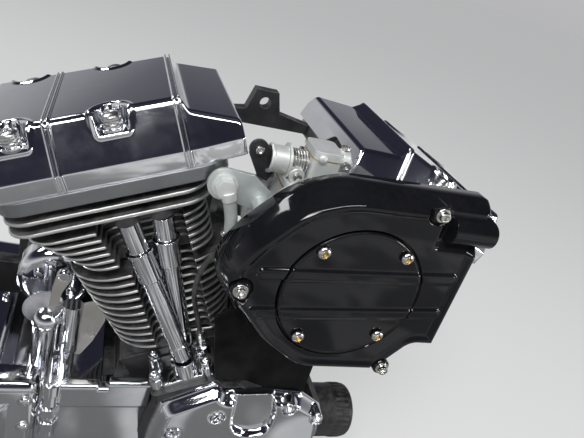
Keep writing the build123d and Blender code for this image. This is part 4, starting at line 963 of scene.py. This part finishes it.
BAR_MIDDLE = np.array((70.0, 303.0))
BAR_APART, BAR_REACH, BAR_HALF, BAR_FALL, BAR_LIFT = 21.5, 94.5, 7.4, 3.6, 2.6
BUTTON_SEAT = 166.2
RING_BOSSES = ((-40.5, 298.5), (122.6, 398.6), (133.0, 214.8))
BOSS_TOP = 165.0


def bar_height(points):
    """0 to 1 over the two slanted bars: full over their flat middles, falling to 0 at their edges."""
    along = heading(BAR_TILT)
    raised = np.zeros(points.shape[:-1])
    for offset in (BAR_APART, -BAR_APART):
        away = points - (BAR_MIDDLE + (0, offset))
        reach = np.clip(away @ along, -BAR_REACH, BAR_REACH)
        gap = np.linalg.norm(away - reach[..., None] * along, axis=-1)
        raised = np.maximum(raised, smooth((BAR_HALF - gap) / BAR_FALL))
    return raised


def cover_face(points, line):
    """Depth of the cover's face in front of the crankshaft's plane. It is the lower of a steep
    shoulder and the flat face, less the pocket, the step by the horn and the sinks round the ring
    bosses, with the bars and the half-round horn added."""
    x, z = points[..., 0], points[..., 1]
    edge = depth_inside(points, line)
    within = smooth((edge - RIDGE_WIDTH) / RIDGE_FALL)
    step = smooth((x - STEP_X) / 9) * smooth((z - STEP_Z) / 10)
    face = FACE_Y - POCKET * within * (1 - step) - STEP_DOWN * step
    face = face + BAR_LIFT * bar_height(points) * within
    depth = softly_lower(WALL_Y + WALL_SLOPE * edge, face, SHOULDER_SOFT)
    for place in RING_BOSSES:
        away = np.linalg.norm(points - np.array(place), axis=-1)
        depth = np.minimum(depth, SINK_Y + 30 * smooth((away - SINK_R) / 16))
    horn = HORN_Y + np.sqrt(np.clip(HORN_R ** 2 - (z - HORN_Z) ** 2, 0, None))
    horn = np.where(np.abs(z - HORN_Z) < HORN_R, horn, 0) * smooth((x - HORN_X) / 4)
    return np.maximum(depth, horn)


cleaner_line = rounded_line(CLEANER_LINE, 1.25)
away = cleaner_line - INSERT
bearing = away / np.linalg.norm(away, axis=1, keepdims=True)
inner = INSERT + (INSERT_R + GROOVE) * bearing
hole = INSERT + (INSERT_R + 0.2) * bearing
reach = np.linalg.norm(cleaner_line - inner, axis=1)
inward = runs_inward(reach, np.minimum(EDGE_BAND, 0.7 * reach), (24, 70))
field = cleaner_line - inward[..., None] * bearing
face = cover_face(field, cleaner_line)
field[-1] = inner + 0.8 * bearing
cover = surface("air_cleaner_shell", np.array([
    level_ring(cleaner_line - 5 * bearing, RIM_Y + 20), level_ring(cleaner_line - 5 * bearing, RIM_Y),
    level_ring(cleaner_line - 0.4 * bearing, RIM_Y), level_ring(cleaner_line, RIM_Y + 0.6),
    level_ring(cleaner_line, WALL_Y - 0.6), *engine_grid(field, face),
    engine_grid(inner, face[-1] - 0.9), level_ring(inner, GROOVE_Y),
    level_ring(hole, GROOVE_Y), level_ring(hole, RIM_Y + 20)]), True, 38)

made = new_finish("gloss_black_paint", 260.0, 22.0, 0.0008, 0.0, 0.02, 160.0)
made.shader.inputs["Specular IOR Level"].default_value = 0.38
patches = made.marks.outputs[1]
deep_black = blend_colors(made.tree, patches, (0.0045, 0.0047, 0.0055, 1), (0.0065, 0.0067, 0.0078, 1))
gloss_paint = end_finish(made, deep_black, (0.17, 0.16, 0.15, 1), mapped(made.tree, patches, 0.035, 0.07),
                         0.4, made.marks.outputs[0], 0.012, 0.0004)
fit(cover, gloss_paint)
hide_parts("air_cleaner_cover")

# Round insert of the cover
# A separate disc that drops into the cover, with the bars carried on across it. Four
# stainless button screws with brassy sockets hold it.
circle = heading(full_turn(260))
radii = np.concatenate((np.linspace(0.6, 67.5, 62), (68.6, 69.4, 69.85)))
field = INSERT + radii[:, None, None] * circle
face = FACE_Y - POCKET + 1.0 + 2.2 * bar_height(field)
rounding = np.clip(radii - 67.6, 0, None)[:, None] / 2.3
face = face - 1.5 * (1 - np.sqrt(np.clip(1 - rounding ** 2, 0, 1)))
edge_rows = [level_ring(INSERT + INSERT_R * circle, depth) for depth in (164.4, GROOVE_Y)]
insert = surface("air_cleaner_disc", np.array([*engine_grid(field, face), *edge_rows]), False, 38)
fit(insert, gloss_paint)
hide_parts("air_cleaner_insert")

stainless = metal_paint("stainless", (0.66, 0.65, 0.62, 1), 0.16, 1900.0, 0.2, 0.88, (1, 1, 1), 0.0004)
brass = metal_paint("brass", (0.62, 0.42, 0.13, 1), 0.26, 1500.0, 0.2, 0.80, (1, 1, 1), 0.0003)
BUTTONS = ((23, 347), (27, 252), (105.5, 350.7), (110, 258.5))
button_places = at_depth(BUTTONS, BUTTON_SEAT)
place_turned("insert_screws", button_screw(6.4, 4.2), button_places, OUTWARD, stainless)
brass_socket = turned(((2.9, 1.2, 1), (2.9, 2.9, 1), (2.2, 2.9, 1), (2.1, 1.7, 1)))
place_turned("insert_screw_sockets", brass_socket, button_places, OUTWARD, brass)

# Ring bosses of the cover
# Three round bosses, cast with the cover and painted with it in deep gloss black. Each one
# carries a stainless washer and the stainless socket screw that clamps the cover.
boss_places = at_depth(RING_BOSSES, 0)
boss_ring = turned(((9.0, 126), (9.0, 163.6), (8.2, 164.8), (7.0, BOSS_TOP), (5.6, BOSS_TOP),
                    (5.2, 164.6), (5.0, 158)))
place_turned("cover_boss_rings", boss_ring, boss_places, OUTWARD, gloss_paint)
washer = turned(((7.0, BOSS_TOP), (7.0, 166.0), (6.6, 166.4), (4.0, 166.4)))
place_turned("cover_washers", washer, boss_places, OUTWARD, stainless)
boss_screw = cap_screw(4.9, 5.0) + np.array((0, 0, BOSS_TOP + 1.2))
place_turned("cover_screws", boss_screw, boss_places, OUTWARD, stainless)

# Backplate ear and breather bolt
# A bare satin alloy plate behind the air cleaner. Its ear reaches back to the rear head, where
# the hollow breather bolt clamps it, and the hose leaves the bolt by a small nub.
cast_alloy = metal_paint(
    "cast_alloy_paint", (0.76, 0.78, 0.76, 1), 0.38, 900.0, 0.6, 0.84, (1, 1, 1), 0.0009, 0.08, 0.62)
plate_alloy = metal_paint(
    "plate_alloy", (0.60, 0.64, 0.63, 1), 0.28, 1200.0, 0.25, 0.86, (1, 1, 0.1), 0.0012, 0.15, 0.62)
repaint(plate_alloy, "air_cleaner_backplate")
repaint(cast_alloy, "breather_fitting", "filter_neck", "throttle_body")
repaint(satin_alloy, "intake_manifold")
place_turned("hose_nub", cap_screw(2.8, 3.2), (-52.6, -113.2, 323.5), (-1, -0.35, 0),
             chrome_small)

# Throttle
# The cable drum turns on a spindle under a wound return spring, on a cast body with a round
# boss. Brass gaskets show as thin lines under its two lids.
repaint(case_black, "throttle_wheel")
SPINDLE = (0.0, -80.0, 391.5)
FORWARD = (1, 0, 0)
UPWARD = (0, 0, 1)
coil = [(6.0, -2.6), (10.4, -2.6)]
for ring in range(6):
    at = -1.2 + 2.9 * ring
    coil += [(10.4, at - 1.25), (12.4, at - 0.85), (13.1, at), (12.4, at + 0.85), (10.4, at + 1.25)]
coil += [(10.4, 15.6), (6.0, 15.6)]
spring_steel = metal_paint("spring_steel", (0.66, 0.66, 0.64, 1), 0.28, 1500.0, 0.2, 0.80, (1, 1, 1), 0.0003)
place_turned("return_spring", turned(coil, 40), SPINDLE, FORWARD, spring_steel, 60)
disc = turned(((6, -4.4), (16.4, -4.4), (17.0, -3.9), (17.0, -2.9), (16.4, -2.5), (6, -2.5)), 44)
place_turned("drum_disc", disc, SPINDLE, FORWARD, cast_alloy)
drum = turned(((6.2, -4.6), (13.2, -4.6), (13.2, -18.4), (14.2, -19.0), (14.2, -20.8), (13.5, -21.7),
               (11.8, -21.8), (11.0, -21.2), (10.8, -17.0)), 44)
place_turned("drum_lip", drum, SPINDLE, FORWARD, cast_alloy)
drum_socket = turned(((10.9, -20.6), (10.9, -20.4), (3, -20.4)))
place_turned("drum_socket", drum_socket, SPINDLE, FORWARD, case_black)
throttle_places = [(-33, -83, 399), (4.3, -98.4, 384.5), (51, -91, 400.5), (51, -80, 411.5)]
place_turned("throttle_screws", cap_screw(4.2, 4.2), throttle_places, [OUTWARD, OUTWARD, OUTWARD, UPWARD],
             stainless)
place_turned("block_boss", domed_cap(4.4, 3.6), (24.2, -98, 405.5), OUTWARD, cast_alloy)
ear = turned(((7.6, 0), (7.6, 7.6), (6.9, 8.4), (4.0, 8.4)))
place_turned("spring_ear", ear, (4.3, -90, 384.5), OUTWARD, cast_alloy)


def level_band(middle, width, depth, corner, low, high, out):
    """A thin closed band round a rounded block: its level outline carried round a small
    rectangle that stands out of the block's wall."""
    half_x, half_y = width / 2, depth / 2
    turns = ((1, 1, 0), (-1, 1, 90), (-1, -1, 180), (1, -1, 270))
    line = evenly(np.vstack([arc((sx * (half_x - corner), sy * (half_y - corner)), corner, start, 90)
                             for sx, sy, start in turns]), 2.0)
    section = np.array(((-1.0, low), (out, low), (out, high), (-1.0, high)))
    moved = np.array(middle) + moved_out(line, section[:, 0])
    height = np.broadcast_to(section[:, None, 1], moved.shape[:2])
    return CRANK + np.stack((moved[..., 0], moved[..., 1], height), -1) / 1000


body_band = level_band((24, -80), 58, 44, 6, 370.6, 371.6, 0.5)
fit(surface("body_gasket", body_band, True), brass)
block_band = level_band((30.5, -80), 29, 36, 5, 403.4, 404.2, 0.4)
fit(surface("block_gasket", block_band, True), brass)

# Gearbox
# Polished and chromed case, side cover and top plate. Domed screws hold the side cover, and
# the filler has a strap and a pressed plate welded to its second column.
polished = chrome_paint("polished_case", 0.0022, 0.06, 0.12)
repaint(polished, "gearbox_case", "gearbox_shoulder")
SIDE_Y = 92
SIDE_LINE = ((-196, 104, 14), (-330, 104, 14), (-366, 60, 14), (-366, -40, 14), (-340, -64, 14),
             (-220, -64, 14), (-196, -40, 14))
SIDE_SCREWS = ((-208, 81.8), (-208, 43.9), (-208, 4), (-208, -34), (-240, -52), (-285, -52),
               (-330, -52), (-354, -10), (-354, 32), (-334, 80), (-290, 92), (-246, 92))
side_line = rounded_line(SIDE_LINE, 2.0)


def side_face(points):
    """The side cover's face: a broad round edge, a ledge for the screws and a low raised middle."""
    edge = depth_inside(points, side_line)
    round_edge = 12 * (1 - np.sqrt(np.clip(1 - np.clip(1 - edge / 12, 0, 1) ** 2, 0, 1)))
    return SIDE_Y - round_edge + 4.5 * smooth((edge - 27) / 7)


side_shell = cast_shell("side_cover_shell", side_line, np.array((-282.0, 20.0)), 1.0, 62, 36, (44, 16),
                        side_face)
fit(side_shell, chrome_small)
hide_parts("gearbox_side_cover")
repaint(chrome_small, "gearbox_top_plate", "line_fitting")
filler_chrome = chrome_paint("filler_chrome", 0.0005, 0.09, 0.12)
repaint(filler_chrome, "oil_filler")
pressed_steel = metal_paint(
    "pressed_steel", (0.66, 0.64, 0.61, 1), 0.26, 1200.0, 0.25, 0.80, (1, 1, 0.1), 0.0008)
side_places = at_depth(SIDE_SCREWS, SIDE_Y)
place_turned("side_cover_screws", domed_cap(5.6, 4.4), side_places, OUTWARD, chrome_small)
side_washer = turned(((7.2, 0), (7.2, 0.8), (6.8, 1.1), (5, 1.1)))
place_turned("side_cover_washers", side_washer, side_places, OUTWARD, steel)
top_places = [(x, y, 103) for x in (-325, -287, -249) for y in (-43, 51)]
place_turned("top_plate_screws", cap_screw(4.6, 4.6), top_places, UPWARD, chrome_small)


def pressed_plate(name, outline, thick, near):
    """A flat pressing with rounded rims: its outline in x and z, carried through a rounded section
    across its thickness, from a depth near the crankshaft's plane outwards."""
    line = evenly(np.array(outline, float), 1.5)
    away = line - line.mean(0)
    away /= np.linalg.norm(away, axis=1, keepdims=True)
    rims = ((0.4, 0.6), (0.0, 0.2), (0.0, 0.0), (thick, 0.0), (thick, 0.2), (thick - 0.4, 0.6))
    return surface(name, np.array([level_ring(line - inset * away, near + depth) for depth, inset in rims]))


strap = rounded_line(((-190, 150, 4), (-199, 152, 4), (-196, 190, 8), (-192, 214, 7), (-179, 216, 7),
                      (-178, 204, 7), (-186, 186, 8)), 1.2)
fit(pressed_plate("filler_strap", strap, 3.0, 38), pressed_steel)
place_turned("strap_screw", hex_bolt(5.2, 5.6, 6.6), (-185.4, -41, 210.5), OUTWARD, chrome_small)
plate = rounded_line(((-170, 100, 4), (-170, 168, 6), (-146, 178, 6), (-138, 150, 10), (-148, 120, 16),
                      (-160, 98, 4)), 1.4)
fit(pressed_plate("filler_plate", plate, 2.6, 36), pressed_steel)

# Primary drive and starter
# Chromed cast cover on the left over the chain, with a round clutch lid and a long
# inspection lid, all held by socket screws. The starter's end cap has two long screws.
repaint(chrome, "primary_cover", "starter_cap")
repaint(chrome_small, "clutch_lid", "inspection_lid")
LEFTWARD = (0, 1, 0)
CLUTCH = (-292, 8)
COVER_LEFT, LID_LEFT = -166, -173
rim_screws = round_places((0, 0), 74, COVER_LEFT, np.radians((-68, -24, 24, 68)))
rim_screws += round_places(CLUTCH, 84, COVER_LEFT, np.radians((75, 115, 160, 205, 245, 285)))
rim_screws += at_depth(((-90, 74), (-190, 80), (-90, -72), (-190, -74)), COVER_LEFT)
place_turned("primary_screws", cap_screw(5.4, 5.4), rim_screws, LEFTWARD, chrome_small)
lid_screws = round_places(CLUTCH, 65, LID_LEFT, np.radians((90, 162, 234, 306, 18)))
lid_screws += at_depth(((-110, 30), (-146, 30), (-110, -22), (-146, -22)), LID_LEFT)
place_turned("lid_screws", button_screw(4.6, 3.2), lid_screws, LEFTWARD, stainless)
place_turned("starter_screws", hex_bolt(4.2, 4.8, 5.4), [(-214, 14, 170), (-178, 14, 146)], OUTWARD,
             chrome_small)

# Spark plugs
# Each one is screwed into the left side of its head: a steel shell with its hexagon, a ribbed
# insulator of white glazed ceramic and a bare steel terminal.
shells, insulators = [], []
ribs = [(6.0, 27)] + [(6.0 + 0.8 * (step % 2), 30 + 3 * step) for step in range(7)] + [(5.6, 51)]
plug_shell = turned(((8.0, 0), (8.0, 9), (10.6, 10), (10.6, 11), (9.6, 11.2, 1), (9.6, 21, 1), (8.2, 22),
                     (7.4, 26), (6, 27)))
terminal = turned(((3, 50), (3.6, 51), (3.6, 52), (2.6, 53), (2.6, 57), (3.4, 58), (3.4, 61), (2.8, 62),
                   (1, 62)))
for hand in HANDS.values():
    root = bank(0, 312, 49.5, hand)
    axis = bank(0, 336, 104.5, hand) - root
    shells += [stood(plug_shell, root, axis), stood(terminal, root, axis)]
    insulators.append(stood(turned(ribs), root, axis))
plug_shells = fit(surface("plug_shells", np.concatenate(shells)), steel)
glaze, tree, shader = new_material("plug_glaze")
marks = use_group(tree, grain, 300.0, 90.0)
tree.links.new(blend_colors(tree, marks.outputs[1], (0.80, 0.79, 0.75, 1), (0.68, 0.66, 0.60, 1)),
               shader.inputs["Base Color"])
tree.links.new(mapped(tree, marks.outputs[1], 0.10, 0.28), shader.inputs["Roughness"])
add_bump(tree, shader, marks.outputs[0], 0.05, 0.0002)
plug_insulators = fit(surface("plug_insulators", np.concatenate(insulators)), glaze)
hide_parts("spark_plug_front", "spark_plug_rear")
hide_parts("spark_plug_front", "spark_plug_rear")

# Oil filter and belt pulley
# The filter is a black painted can that screws onto its neck by a fluted grip at its end. The
# pulley is turned steel and runs on the gearbox's output shaft.
FILTER_Y, FILTER_Z, FILTER_R = -12, -18, 38
FLUTES = 30
turns = full_turn(8 * FLUTES)
flute_rows = []
for x, lift in ((196, -0.6), (199, 0.7), (212, 0.7), (217, 0.2)):
    radius = FILTER_R + lift + 0.55 * min(1, lift + 0.6) * np.cos(FLUTES * turns)
    flute_rows.append(np.stack((np.full(len(turns), x), FILTER_Y + radius * np.cos(turns),
                                FILTER_Z + radius * np.sin(turns)), -1))
fit(surface("filter_grip", CRANK + np.array(flute_rows) / 1000), case_black)
repaint(steel, "belt_pulley")

visual_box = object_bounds()
[[list(corner) for corner in box] for box in (cad_box, visual_box)]
